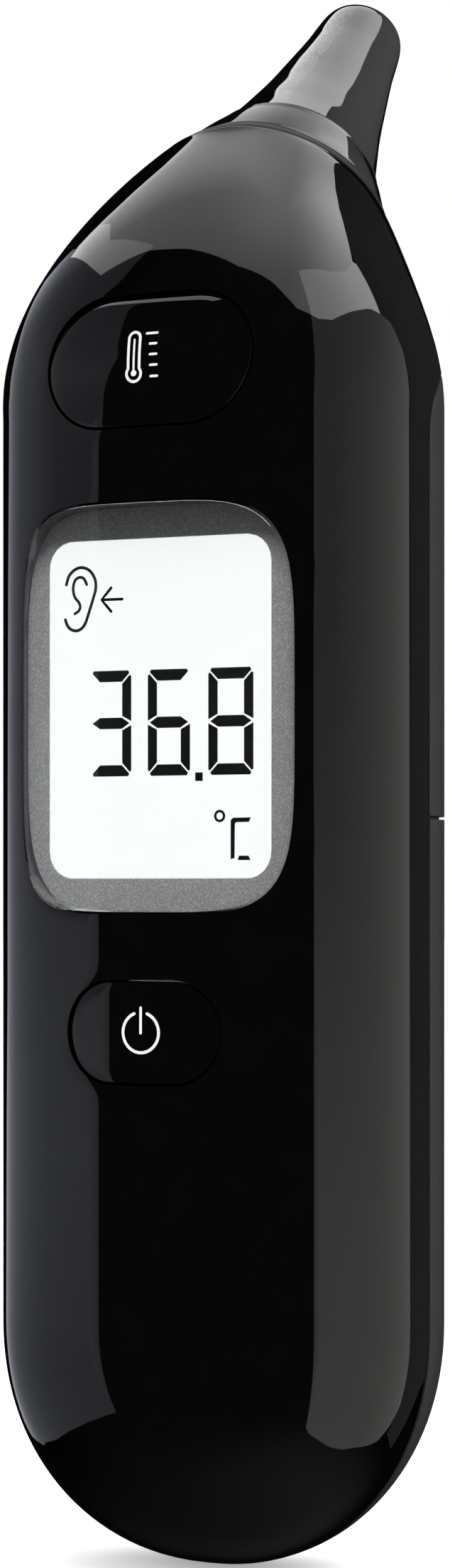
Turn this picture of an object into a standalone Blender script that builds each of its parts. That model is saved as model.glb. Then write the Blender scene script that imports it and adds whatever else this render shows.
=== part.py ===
"""Infrared ear thermometer: a hand-held body with a leaning ear probe.

Units are metres and +Z runs up the body. The shapes are first laid out in the body's own
frame, where Y = 0 is the parting plane of the two shells, -Y is the front with the display,
X = 0 is the symmetry plane and Z = 0 is the lowest point. DEPTH_SHIFT then centres the whole
object on the origin front to back.
"""

import math

import bmesh
import bpy
from mathutils import Matrix, Vector

MM = 0.001

# Body outline
HALF_WIDTH = 22.08 * MM
FRONT_DEPTH = 17.76 * MM
REAR_DEPTH = 13.62 * MM
REAR_FLAT = 13.26 * MM
FRONT_EXPONENT = 2.457
REAR_EXPONENT = 2.6
END_HEIGHT = 24.0 * MM
END_EXPONENT = 2.1
END_REAR_EXPONENT = 1.75
SHOULDER_Z = 113.4 * MM

# Probe axis, leaning back from vertical, measured from the middle of the probe's tip
PROBE_LEAN = math.radians(44.0)
TIP_Y = 32.6 * MM
TIP_Z = 158.4 * MM
NECK_DISTANCE = 34.15 * MM
NECK_HALF_WIDTH = 13.38 * MM
NECK_HALF_DEPTH = 12.43 * MM
TIP_OVERHANG = 2.288 * MM
DEPTH_SHIFT = (FRONT_DEPTH - TIP_Y - TIP_OVERHANG) / 2

# Shells
WALL = 1.8 * MM
NECK_WALL = 1.6 * MM
GAP = 0.3 * MM
COVER_SPLIT_Z = 73.6 * MM

# Controls and display on the front
MEASURE_Z = 117.2 * MM
MEASURE_HALF_WIDTH = 10.9 * MM
MEASURE_HALF_HEIGHT = 6.4 * MM
POWER_Z = 53.0 * MM
POWER_HALF_WIDTH = 8.15 * MM
POWER_HALF_HEIGHT = 4.83 * MM
BUTTON_TRAVEL = 0.5 * MM
DISPLAY_Z = 83.8 * MM
LENS_HALF_WIDTH = 14.6 * MM
LENS_HALF_HEIGHT = 19.3 * MM
LENS_EXPONENT = 5.0
WINDOW_Z = 84.05 * MM
WINDOW_HALF_WIDTH = 12.05 * MM
WINDOW_HALF_HEIGHT = 16.35 * MM
WINDOW_RADIUS = 2.6 * MM

# Depths of the layers behind the display, all as Y of the layer's front face
LENS_BACK = -14.3 * MM
FRAME_FRONT = -14.0 * MM
LCD_FRONT = -12.9 * MM
GUIDE_FRONT = -11.2 * MM
BOARD_FRONT = -8.6 * MM
BOARD_THICKNESS = 1.2 * MM
FLANGE_FRONT = -12.3 * MM
FLANGE_THICKNESS = 1.0 * MM

# Batteries
CELL_RADIUS = 5.25 * MM
CELL_LENGTH = 44.5 * MM
CELL_X = 5.6 * MM
CELL_Y = 5.9 * MM
TRAY_BOTTOM_Z = 22.2 * MM
TRAY_TOP_Z = 73.2 * MM

# Screws
SCREW_X = 16.3 * MM
CASE_SCREW_Z = 105.5 * MM
TRAY_SCREW_Z = (33.0 * MM, 67.5 * MM)
SCREW_RADIUS = 0.9 * MM
SCREW_HEAD_RADIUS = 1.7 * MM
BOSS_RADIUS = 2.1 * MM

AROUND = 56
AROUND_INSIDE = 36
ROUND_STEPS = 32


def clear_scene():
    for obj in list(bpy.data.objects):
        bpy.data.objects.remove(obj, do_unlink=True)


clear_scene()
parts = bpy.data.collections.new("ear_thermometer")
cutters = bpy.data.collections.new("cutters")
bpy.context.scene.collection.children.link(parts)
bpy.context.scene.collection.children.link(cutters)


# ---------------------------------------------------------------- materials
def principled(name, colour, roughness, metallic=0.0, alpha=1.0, emission=0.0):
    material = bpy.data.materials.new(name)
    material.use_nodes = True
    shader = material.node_tree.nodes["Principled BSDF"]
    shader.inputs["Base Color"].default_value = (*colour, 1.0)
    shader.inputs["Roughness"].default_value = roughness
    shader.inputs["Metallic"].default_value = metallic
    shader.inputs["Alpha"].default_value = alpha
    if emission:
        shader.inputs["Emission Color"].default_value = (*colour, 1.0)
        shader.inputs["Emission Strength"].default_value = emission
    material.diffuse_color = (*colour, alpha)
    return material


# ---------------------------------------------------------------- object helpers
def new_object(name, mesh, collection=parts):
    obj = bpy.data.objects.new(name, mesh)
    collection.objects.link(obj)
    if collection is cutters:
        obj.hide_render = True
        obj.display_type = "WIRE"
    return obj


def from_bmesh(name, bm, collection=parts):
    bmesh.ops.recalc_face_normals(bm, faces=bm.faces)
    mesh = bpy.data.meshes.new(name)
    bm.to_mesh(mesh)
    bm.free()
    return new_object(name, mesh, collection)


def move_origin(obj, point):
    """Sets the object's origin to a point, leaving the shape where it is."""
    offset = Vector(point) - obj.location
    obj.data.transform(Matrix.Translation(-offset))
    obj.location = Vector(point)


def shade(obj, angle=math.radians(35)):
    obj.data.shade_smooth()
    obj.data.set_sharp_from_angle(angle=angle)


def boolean(obj, cutter, operation="DIFFERENCE"):
    modifier = obj.modifiers.new(f"{operation.lower()}_{cutter.name}", "BOOLEAN")
    modifier.operation = operation
    modifier.solver = "EXACT"
    modifier.object = cutter
    return modifier


def box(name, low, high, collection=parts):
    bm = bmesh.new()
    bmesh.ops.create_cube(bm, size=1.0)
    low, high = Vector(low), Vector(high)
    size = high - low
    bmesh.ops.scale(bm, vec=size, verts=bm.verts)
    bmesh.ops.translate(bm, vec=(low + high) / 2, verts=bm.verts)
    return from_bmesh(name, bm, collection)


def cylinder_y(name, centre, radius, y_low, y_high, steps=ROUND_STEPS, collection=parts):
    """A cylinder along Y through (x, z) = centre."""
    bm = bmesh.new()
    bmesh.ops.create_cone(
        bm, cap_ends=True, segments=steps, radius1=radius, radius2=radius, depth=y_high - y_low
    )
    bmesh.ops.rotate(bm, cent=(0, 0, 0), matrix=Matrix.Rotation(math.pi / 2, 3, "X"), verts=bm.verts)
    middle = (centre[0], (y_low + y_high) / 2, centre[1])
    bmesh.ops.translate(bm, vec=middle, verts=bm.verts)
    return from_bmesh(name, bm, collection)


def prism_y(name, outline, y_low, y_high, collection=parts, holes=()):
    """A flat outline of (x, z) points, with holes, given a thickness along Y."""
    curve = bpy.data.curves.new(name, "CURVE")
    curve.dimensions = "2D"
    curve.fill_mode = "BOTH"
    curve.extrude = (y_high - y_low) / 2
    for loop in (outline, *holes):
        spline = curve.splines.new("POLY")
        spline.points.add(len(loop) - 1)
        for point, (x, z) in zip(spline.points, loop):
            point.co = (x, z, 0.0, 1.0)
        spline.use_cyclic_u = True
    flat = bpy.data.objects.new(name + "_outline", curve)
    bpy.context.scene.collection.objects.link(flat)
    flat.matrix_world = Matrix.Translation((0, (y_low + y_high) / 2, 0)) @ Matrix.Rotation(
        math.pi / 2, 4, "X"
    )
    bpy.context.view_layer.update()
    graph = bpy.context.evaluated_depsgraph_get()
    mesh = bpy.data.meshes.new_from_object(flat.evaluated_get(graph))
    mesh.transform(flat.matrix_world)
    bpy.data.objects.remove(flat)
    bm = bmesh.new()
    bm.from_mesh(mesh)
    bpy.data.meshes.remove(mesh)
    bmesh.ops.remove_doubles(bm, verts=bm.verts, dist=0.002 * MM)
    return from_bmesh(name, bm, collection)


def prism_x(name, outline, x_low, x_high, collection=parts):
    """A closed outline of (y, z) points given a thickness along X."""
    bm = bmesh.new()
    low = [bm.verts.new((x_low, y, z)) for y, z in outline]
    face = bm.faces.new(low)
    raised = bmesh.ops.extrude_face_region(bm, geom=[face])
    moved = [item for item in raised["geom"] if isinstance(item, bmesh.types.BMVert)]
    bmesh.ops.translate(bm, vec=(x_high - x_low, 0, 0), verts=moved)
    return from_bmesh(name, bm, collection)


def turned(name, profile, closed, steps=ROUND_STEPS, collection=parts):
    """A profile of (radius, height) points, turned about local Z by a Screw modifier.

    The profile runs down the outer side, top to bottom. A closed one makes a ring or tube, and
    an open one starts and ends on the axis.
    """
    mesh = bpy.data.meshes.new(name)
    edges = [(i, i + 1) for i in range(len(profile) - 1)]
    if closed:
        edges.append((len(profile) - 1, 0))
    mesh.from_pydata([(radius, 0.0, height) for radius, height in profile], edges, [])
    obj = new_object(name, mesh, collection)
    screw = obj.modifiers.new("turn", "SCREW")
    screw.angle = 2 * math.pi
    screw.steps = steps
    screw.render_steps = steps
    screw.use_merge_vertices = True
    screw.merge_threshold = 0.00001
    screw.use_smooth_shade = True
    return obj


def tube(name, points, radius, sides=2):
    """A round wire through the points."""
    curve = bpy.data.curves.new(name, "CURVE")
    curve.dimensions = "3D"
    curve.bevel_depth = radius
    curve.bevel_resolution = sides
    curve.use_fill_caps = True
    spline = curve.splines.new("POLY")
    spline.points.add(len(points) - 1)
    for target, point in zip(spline.points, points):
        target.co = (*point, 1.0)
    obj = bpy.data.objects.new(name, curve)
    parts.objects.link(obj)
    return obj


# ---------------------------------------------------------------- outlines
def superellipse(half_width, half_height, exponent, z, count=64):
    points = []
    for i in range(count):
        angle = 2 * math.pi * i / count
        c, s = math.cos(angle), math.sin(angle)
        x = half_width * math.copysign(abs(c) ** (2 / exponent), c)
        y = half_height * math.copysign(abs(s) ** (2 / exponent), s)
        points.append((x, z + y))
    return points


def rounded_rectangle(half_width, half_height, radius, z, x=0.0, corner=6):
    points = []
    for quarter, (sx, sz) in enumerate(((1, 1), (-1, 1), (-1, -1), (1, -1))):
        for i in range(corner + 1):
            angle = math.pi / 2 * (quarter + i / corner)
            points.append(
                (
                    x + sx * (half_width - radius) + radius * math.cos(angle),
                    z + sz * (half_height - radius) + radius * math.sin(angle),
                )
            )
    return points


def stadium(half_width, half_height, z, x=0.0, corner=10):
    return rounded_rectangle(half_width, half_height, half_height * 0.999, z, x, corner)


def circle(x, z, radius, count=20):
    return [
        (x + radius * math.cos(2 * math.pi * i / count), z + radius * math.sin(2 * math.pi * i / count))
        for i in range(count)
    ]


# ---------------------------------------------------------------- the body's surface
def cubic(p0, p1, p2, p3, t):
    a, b, c, d = (1 - t) ** 3, 3 * t * (1 - t) ** 2, 3 * t * t * (1 - t), t**3
    return tuple(a * w + b * x + c * y + d * z for w, x, y, z in zip(p0, p1, p2, p3))


def mix(a, b, t):
    return a + (b - a) * t


def section(half_width, front, back, split, n_front, n_rear, flat=1.0, around=AROUND):
    """One closed loop round the body. front and back are (y, z) points of its middle line."""
    loop = []
    depth = (back[0] - front[0], back[1] - front[1])
    middle = (front[0] + split * depth[0], front[1] + split * depth[1])
    for i in range(around):
        angle = 2 * math.pi * i / around
        c, s = math.cos(angle), math.sin(angle)
        n = n_front if s < 0 else n_rear
        across = half_width * math.copysign(abs(c) ** (2 / n), c)
        along = abs(s) ** (2 / n)
        along = -split * along if s < 0 else (1 - split) * min(along, flat)
        loop.append((across, middle[0] + along * depth[0], middle[1] + along * depth[1]))
    return loop


def neck_point(distance, across):
    """(y, z) of a point at a distance down the probe axis and an offset across it, to the rear."""
    y = TIP_Y - distance * math.sin(PROBE_LEAN) + across * math.cos(PROBE_LEAN)
    z = TIP_Z - distance * math.cos(PROBE_LEAN) - across * math.sin(PROBE_LEAN)
    return y, z


def neck_section(distance, inset):
    reach = NECK_HALF_DEPTH - inset
    return section(
        NECK_HALF_WIDTH - inset,
        neck_point(distance, -reach),
        neck_point(distance, reach),
        0.5,
        2.0,
        2.0,
        around=AROUND_INSIDE if inset > WALL * 0.5 else AROUND,
    )


def shoulder_section(t, inset):
    """A section between the straight body (t = 0) and the neck (t = 1)."""
    rim = NECK_DISTANCE + 0.3 * MM
    front_end = neck_point(rim, -NECK_HALF_DEPTH)
    back_end = neck_point(rim, NECK_HALF_DEPTH)
    front = cubic(
        (-FRONT_DEPTH, SHOULDER_Z),
        (-FRONT_DEPTH, SHOULDER_Z + 15.1 * MM),
        (front_end[0] - 0.6 * MM, front_end[1] - 1.6 * MM),
        front_end,
        t,
    )
    back = cubic(
        (REAR_DEPTH, SHOULDER_Z),
        (REAR_DEPTH, SHOULDER_Z + 6.1 * MM),
        (back_end[0] - 3.9 * MM, back_end[1] - 5.2 * MM),
        back_end,
        t,
    )
    width = cubic((HALF_WIDTH,), (22.5 * MM,), (16.25 * MM,), (NECK_HALF_WIDTH,), t)[0]
    length = math.hypot(back[0] - front[0], back[1] - front[1])
    step = ((back[0] - front[0]) / length * inset, (back[1] - front[1]) / length * inset)
    straight_split = FRONT_DEPTH / (FRONT_DEPTH + REAR_DEPTH)
    return section(
        width - inset,
        (front[0] + step[0], front[1] + step[1]),
        (back[0] - step[0], back[1] - step[1]),
        mix(straight_split, 0.5, t),
        mix(mix(FRONT_EXPONENT, 2.6, t), mix(2.6, 2.0, t), t),
        mix(mix(REAR_EXPONENT, 2.35, t), mix(2.35, 2.0, t), t),
        mix(REAR_FLAT / REAR_DEPTH, 1.0, min(1.0, t * 2.5)),
        AROUND_INSIDE if inset else AROUND,
    )


def straight_section(z, inset, width_scale=1.0, rear_scale=1.0):
    front = FRONT_DEPTH - inset
    rear = REAR_DEPTH - inset
    return section(
        (HALF_WIDTH - inset) * width_scale,
        (-front * width_scale, z),
        (rear * rear_scale, z),
        front * width_scale / (front * width_scale + rear * rear_scale),
        FRONT_EXPONENT,
        REAR_EXPONENT,
        (REAR_FLAT - inset) / rear,
        AROUND_INSIDE if inset else AROUND,
    )


def loft(name, loops, collection=parts, ring=False, pole=None):
    """Quads between matching loops, closed by end faces, a pole at the start, or on itself."""
    bm = bmesh.new()
    rows = [[bm.verts.new(point) for point in loop] for loop in loops]
    count = len(rows[0])
    pairs = list(zip(rows[:-1], rows[1:]))
    if ring:
        pairs.append((rows[-1], rows[0]))
    for low, high in pairs:
        for i in range(count):
            j = (i + 1) % count
            bm.faces.new((low[i], low[j], high[j], high[i]))
    if pole:
        tip = bm.verts.new(pole)
        for i in range(count):
            bm.faces.new((rows[0][(i + 1) % count], rows[0][i], tip))
    elif not ring:
        bm.faces.new(list(reversed(rows[0])))
    if not ring:
        bm.faces.new(rows[-1])
    return from_bmesh(name, bm, collection)


def body_volume(name, inset, collection=cutters, fine=True):
    """The whole outer body, or, with an inset, the hollow inside it."""
    loops = []
    end_steps = 10 if fine else 7
    height = END_HEIGHT - inset
    for i in range(1, end_steps):
        angle = math.pi / 2 * (i / end_steps) ** 0.85
        q = math.cos(angle) ** (2 / END_EXPONENT)
        width_scale = (1 - q**END_EXPONENT) ** (1 / END_EXPONENT)
        rear_scale = (1 - q**END_REAR_EXPONENT) ** (1 / END_REAR_EXPONENT)
        loops.append(straight_section(END_HEIGHT - height * q, inset, width_scale, rear_scale))
    for z in (END_HEIGHT, 0.5 * (END_HEIGHT + SHOULDER_Z)):
        loops.append(straight_section(z, inset))
    if inset:
        loops += [shoulder_section(0.8 * i / 7, inset) for i in range(8)]
        loops.append(neck_section(NECK_DISTANCE + NECK_WALL, WALL + 0.5 * MM))
    else:
        loops += [shoulder_section(i / 14, inset) for i in range(15)]
        loops.append(neck_section(NECK_DISTANCE, 0.3 * MM))
    return loft(name, loops, collection, pole=(0.0, 0.0, inset))


# Seen from the side, the parting line is straight up to the shoulder and then runs back
# under the neck, so that the front shell carries the whole neck.
SEAM_PATH = (
    (0.0, 110.0),
    (0.3, 112.4),
    (1.1, 114.2),
    (2.5, 115.6),
    (4.4, 116.6),
    (18.0, 122.6),
    (40.0, 132.3),
)


def seam_zone(name, front, z_low=-10.0 * MM, z_high=200.0 * MM):
    half = GAP / 2
    if front:
        path = [(y * MM - half * 0.6, z * MM + half * 0.8) for y, z in SEAM_PATH]
        path[0] = (-half, path[0][1])
        points = [(-60 * MM, z_low), (-half, z_low), *path, (40 * MM, z_high), (-60 * MM, z_high)]
    else:
        path = [(y * MM + half * 0.6, z * MM - half * 0.8) for y, z in SEAM_PATH]
        path[0] = (half, path[0][1])
        points = [(half, z_low), *path, (60 * MM, path[-1][1]), (60 * MM, z_low)]
    return prism_x(name, points, -40 * MM, 40 * MM, cutters)


body_cutter = body_volume("body_outside", 0.0)
cavity_cutter = body_volume("body_inside", WALL, fine=False)
front_zone = seam_zone("front_zone", True)
rear_zone = seam_zone("rear_zone", False)


def own_material(obj, name, colour, roughness, metallic=0.0, alpha=1.0, emission=0.0):
    obj.data.materials.clear()
    obj.data.materials.append(principled(name, colour, roughness, metallic, alpha, emission))


# ---------------------------------------------------------------- front shell
front_shell = body_volume("front_shell", 0.0, parts)
boolean(front_shell, front_zone, "INTERSECT")
boolean(front_shell, cavity_cutter)

measure_hole = prism_y(
    "measure_hole",
    stadium(MEASURE_HALF_WIDTH + GAP, MEASURE_HALF_HEIGHT + GAP, MEASURE_Z),
    -25 * MM,
    -8 * MM,
    cutters,
)
power_hole = prism_y(
    "power_hole",
    stadium(POWER_HALF_WIDTH + GAP, POWER_HALF_HEIGHT + GAP, POWER_Z),
    -25 * MM,
    -8 * MM,
    cutters,
)
lens_hole = prism_y(
    "lens_hole",
    superellipse(LENS_HALF_WIDTH + GAP, LENS_HALF_HEIGHT + GAP, LENS_EXPONENT, DISPLAY_Z),
    -25 * MM,
    -8 * MM,
    cutters,
)
for hole in (measure_hole, power_hole, lens_hole):
    boolean(front_shell, hole)

probe_axis = bpy.data.objects.new("probe_axis", None)
probe_axis.empty_display_size = 5 * MM
parts.objects.link(probe_axis)
probe_axis.location = (0.0, TIP_Y, TIP_Z)
probe_axis.rotation_euler = (-PROBE_LEAN, 0.0, 0.0)
PROBE_MATRIX = Matrix.Translation((0, TIP_Y, TIP_Z)) @ Matrix.Rotation(-PROBE_LEAN, 4, "X")

TAIL_RADIUS = 7.2 * MM
neck_bore = turned(
    "neck_bore",
    [
        (0, -NECK_DISTANCE + 3 * MM),
        (TAIL_RADIUS + GAP, -NECK_DISTANCE + 3 * MM),
        (TAIL_RADIUS + GAP, -NECK_DISTANCE - 4 * MM),
        (0, -NECK_DISTANCE - 4 * MM),
    ],
    False,
    ROUND_STEPS,
    cutters,
)
neck_bore.matrix_world = PROBE_MATRIX
boolean(front_shell, neck_bore)


def boss(name, x, z, y_low, y_high, host):
    """A screw boss with a pilot hole, kept to the inside of the shell and joined to it."""
    post = cylinder_y(name + "_post", (x, z), BOSS_RADIUS, y_low, y_high, 14, cutters)
    boolean(post, boss_limit, "INTERSECT")
    boolean(host, post, "UNION")


boss_limit = body_volume("boss_limit", WALL * 0.4, cutters, False)
CASE_BOSS_END = -1.2 * MM
TRAY_FRONT = -1.5 * MM
for side, x in (("left", -SCREW_X), ("right", SCREW_X)):
    boss(f"case_{side}", x, CASE_SCREW_Z, -16 * MM, CASE_BOSS_END, front_shell)
    for level, z in zip(("lower", "upper"), TRAY_SCREW_Z):
        boss(f"tray_{level}_{side}", x, z, -16 * MM, TRAY_FRONT - GAP, front_shell)
BOARD_SCREWS = ((0.0, 41.0 * MM), (-9.0 * MM, 61.0 * MM), (9.0 * MM, 107.0 * MM))
for index, (x, z) in enumerate(BOARD_SCREWS):
    boss(f"board_{index}", x, z, -17 * MM, BOARD_FRONT - GAP, front_shell)


def pilot(name, x, z, y_low, y_high, host):
    hole = cylinder_y(name, (x, z), SCREW_RADIUS + 0.15 * MM, y_low, y_high, 10, cutters)
    boolean(host, hole)


for side, x in (("left", -SCREW_X), ("right", SCREW_X)):
    pilot(f"case_pilot_{side}", x, CASE_SCREW_Z, -8.5 * MM, 1 * MM, front_shell)
    for level, z in zip(("lower", "upper"), TRAY_SCREW_Z):
        pilot(f"tray_pilot_{level}_{side}", x, z, -8.5 * MM, 1 * MM, front_shell)
for index, (x, z) in enumerate(BOARD_SCREWS):
    pilot(f"board_pilot_{index}", x, z, -14.0 * MM, -8 * MM, front_shell)
own_material(front_shell, "front_shell_gloss", (0.006, 0.006, 0.007), 0.08)

# ---------------------------------------------------------------- rear shell
rear_shell = body_volume("rear_shell", 0.0, parts)
boolean(rear_shell, rear_zone, "INTERSECT")
boolean(rear_shell, cavity_cutter)
below_split = box(
    "below_split",
    (-40 * MM, -40 * MM, -10 * MM),
    (40 * MM, 40 * MM, COVER_SPLIT_Z + GAP / 2),
    cutters,
)
boolean(rear_shell, below_split)
HEAD_SEAT = 7.2 * MM
for side, x in (("left", -SCREW_X), ("right", SCREW_X)):
    centre = (x, CASE_SCREW_Z)
    post_radius = BOSS_RADIUS + 0.6 * MM
    post_front = CASE_BOSS_END + GAP
    post = cylinder_y(f"rear_post_{side}", centre, post_radius, post_front, 12 * MM, 20, cutters)
    boolean(post, boss_limit, "INTERSECT")
    boolean(rear_shell, post, "UNION")
    well_radius = SCREW_HEAD_RADIUS + GAP
    recess = cylinder_y(f"rear_recess_{side}", centre, well_radius, HEAD_SEAT, 16 * MM, 20, cutters)
    boolean(rear_shell, recess)
    passage = cylinder_y(
        f"rear_passage_{side}", centre, SCREW_RADIUS + GAP, -3 * MM, HEAD_SEAT + 1 * MM, 16, cutters
    )
    boolean(rear_shell, passage)
own_material(rear_shell, "rear_shell_satin", (0.02, 0.02, 0.021), 0.35)

# ---------------------------------------------------------------- battery cover
battery_cover = body_volume("battery_cover", 0.0, parts)
boolean(battery_cover, rear_zone, "INTERSECT")
boolean(battery_cover, cavity_cutter)
above_split = box(
    "above_split",
    (-40 * MM, -40 * MM, COVER_SPLIT_Z - GAP / 2),
    (40 * MM, 40 * MM, 200 * MM),
    cutters,
)
boolean(battery_cover, above_split)
# Four shallow grip grooves are cut across the flat back.
for index in range(4):
    z = (58.0 + 3.0 * index) * MM
    groove = cylinder_y(f"grip_groove_{index}", (0, z), 0.6 * MM, -7 * MM, 7 * MM, 12, cutters)
    groove.rotation_euler = (0.0, 0.0, math.pi / 2)
    groove.location = (0.0, REAR_FLAT + 0.25 * MM, 0.0)
    boolean(battery_cover, groove)
own_material(battery_cover, "battery_cover_satin", (0.02, 0.02, 0.021), 0.35)

# ---------------------------------------------------------------- buttons
def button(name, half_width, half_height, z):
    cap = body_volume(name, 0.0, parts)
    outline = stadium(half_width, half_height, z)
    reach = prism_y(name + "_reach", outline, -25 * MM, FLANGE_FRONT + 0.4 * MM, cutters)
    boolean(cap, reach, "INTERSECT")
    flange = prism_y(
        name + "_flange",
        stadium(half_width + 0.9 * MM, half_height + 0.9 * MM, z),
        FLANGE_FRONT,
        FLANGE_FRONT + FLANGE_THICKNESS,
        cutters,
    )
    boolean(cap, flange, "UNION")
    return cap


measure_button = button("measure_button", MEASURE_HALF_WIDTH, MEASURE_HALF_HEIGHT, MEASURE_Z)
own_material(measure_button, "measure_button_gloss", (0.006, 0.006, 0.007), 0.08)
power_button = button("power_button", POWER_HALF_WIDTH, POWER_HALF_HEIGHT, POWER_Z)
own_material(power_button, "power_button_gloss", (0.006, 0.006, 0.007), 0.08)

SWITCH_FRONT = -10.3 * MM
FLANGE_BACK = FLANGE_FRONT + FLANGE_THICKNESS
for label, z in (("measure", MEASURE_Z), ("power", POWER_Z)):
    base = box(
        f"{label}_switch",
        (-2.6 * MM, SWITCH_FRONT, z - 2.6 * MM),
        (2.6 * MM, BOARD_FRONT - GAP, z + 2.6 * MM),
    )
    socket_floor = SWITCH_FRONT + 1.1 * MM
    socket = cylinder_y(
        f"{label}_socket", (0, z), 1.5 * MM, SWITCH_FRONT - 1 * MM, socket_floor, 20, cutters
    )
    boolean(base, socket)
    own_material(base, f"{label}_switch_steel", (0.6, 0.6, 0.58), 0.3, 1.0)
    plunger = cylinder_y(
        f"{label}_plunger", (0, z), 1.15 * MM, FLANGE_BACK + GAP, FLANGE_BACK + GAP + 1.0 * MM, 20
    )
    own_material(plunger, f"{label}_plunger_plastic", (0.03, 0.03, 0.03), 0.5)

# ---------------------------------------------------------------- display stack
display_lens = body_volume("display_lens", 0.0, parts)
lens_reach = prism_y(
    "lens_reach",
    superellipse(LENS_HALF_WIDTH, LENS_HALF_HEIGHT, LENS_EXPONENT, DISPLAY_Z),
    -25 * MM,
    LENS_BACK,
    cutters,
)
boolean(display_lens, lens_reach, "INTERSECT")
own_material(display_lens, "display_lens_clear", (0.8, 0.8, 0.8), 0.03, 0.0, 0.25)

display_frame = prism_y(
    "display_frame",
    superellipse(LENS_HALF_WIDTH, LENS_HALF_HEIGHT, LENS_EXPONENT, DISPLAY_Z),
    FRAME_FRONT,
    FRAME_FRONT + 0.8 * MM,
    holes=[rounded_rectangle(WINDOW_HALF_WIDTH, WINDOW_HALF_HEIGHT, WINDOW_RADIUS, WINDOW_Z)],
)
own_material(display_frame, "display_frame_flake", (0.18, 0.18, 0.185), 0.4, 0.6)

lcd_polarizer = prism_y(
    "lcd_polarizer",
    rounded_rectangle(
        WINDOW_HALF_WIDTH - GAP, WINDOW_HALF_HEIGHT - GAP, WINDOW_RADIUS - GAP, WINDOW_Z
    ),
    FRAME_FRONT,
    FRAME_FRONT + 0.8 * MM,
)
own_material(lcd_polarizer, "lcd_polarizer_white", (0.95, 0.97, 0.97), 0.3, 0.0, 1.0, 1.0)

LCD_HALF_WIDTH = 12.9 * MM
LCD_HALF_HEIGHT = 17.6 * MM
lcd_glass = box(
    "lcd_glass",
    (-LCD_HALF_WIDTH, LCD_FRONT, DISPLAY_Z - LCD_HALF_HEIGHT),
    (LCD_HALF_WIDTH, GUIDE_FRONT - GAP, DISPLAY_Z + LCD_HALF_HEIGHT),
)
own_material(lcd_glass, "lcd_glass_clear", (0.7, 0.75, 0.75), 0.1, 0.0, 0.5)

lcd_holder = prism_y(
    "lcd_holder",
    rounded_rectangle(13.9 * MM, 18.8 * MM, 1.5 * MM, DISPLAY_Z, corner=4),
    -12.4 * MM,
    BOARD_FRONT - GAP,
    holes=[rounded_rectangle(13.2 * MM, 17.9 * MM, 0.5 * MM, DISPLAY_Z, corner=2)],
)
own_material(lcd_holder, "lcd_holder_white", (0.8, 0.8, 0.8), 0.5)

backlight_guide = box(
    "backlight_guide",
    (-12.6 * MM, GUIDE_FRONT, DISPLAY_Z - 15.2 * MM),
    (12.6 * MM, BOARD_FRONT - GAP, DISPLAY_Z + 15.6 * MM),
)
own_material(backlight_guide, "backlight_guide_acrylic", (0.85, 0.9, 0.95), 0.2)
backlight_led = box(
    "backlight_led",
    (-1.6 * MM, BOARD_FRONT - GAP - 1.0 * MM, DISPLAY_Z + 16.0 * MM),
    (1.6 * MM, BOARD_FRONT - GAP, DISPLAY_Z + 17.2 * MM),
)
own_material(backlight_led, "backlight_led_white", (0.9, 0.9, 0.7), 0.3)
lcd_connector_strip = box(
    "lcd_connector_strip",
    (-11.5 * MM, GUIDE_FRONT, DISPLAY_Z - 17.2 * MM),
    (11.5 * MM, BOARD_FRONT - GAP, DISPLAY_Z - 15.6 * MM),
)
own_material(lcd_connector_strip, "lcd_connector_rubber", (0.55, 0.1, 0.08), 0.7)

# ---------------------------------------------------------------- circuit board
BOARD_BACK = BOARD_FRONT + BOARD_THICKNESS
board_outline = [
    (-10.0 * MM, 32.0 * MM),
    (10.0 * MM, 32.0 * MM),
    (12.8 * MM, 36.0 * MM),
    (12.8 * MM, 118.0 * MM),
    (9.5 * MM, 125.0 * MM),
    (-9.5 * MM, 125.0 * MM),
    (-12.8 * MM, 118.0 * MM),
    (-12.8 * MM, 36.0 * MM),
]
main_board = prism_y(
    "main_board",
    board_outline,
    BOARD_FRONT,
    BOARD_BACK,
    holes=[circle(x, z, SCREW_RADIUS + GAP, 16) for x, z in BOARD_SCREWS],
)
own_material(main_board, "main_board_green", (0.01, 0.13, 0.05), 0.45)


def chip(name, x, z, half_width, half_height, thickness, colour, metallic=0.0, roughness=0.4):
    y = BOARD_BACK + GAP
    obj = box(
        name, (x - half_width, y, z - half_height), (x + half_width, y + thickness, z + half_height)
    )
    own_material(obj, name + "_body", colour, roughness, metallic)
    return obj


chip("microcontroller", 0.0, 92 * MM, 5 * MM, 5 * MM, 1.2 * MM, (0.015, 0.015, 0.015))
chip("sensor_amplifier", -6.5 * MM, 112 * MM, 2.0 * MM, 2.5 * MM, 1.0 * MM, (0.015, 0.015, 0.015))
chip("memory_chip", 8 * MM, 80 * MM, 2.0 * MM, 2.6 * MM, 1.2 * MM, (0.015, 0.015, 0.015))
chip("crystal", -8.5 * MM, 90 * MM, 1.2 * MM, 2.8 * MM, 1.2 * MM, (0.7, 0.7, 0.68), 1.0, 0.25)
buzzer = cylinder_y("buzzer", (0, 53 * MM), 6.0 * MM, BOARD_BACK + GAP, BOARD_BACK + GAP + 2.6 * MM)
own_material(buzzer, "buzzer_black", (0.02, 0.02, 0.02), 0.5)


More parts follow.
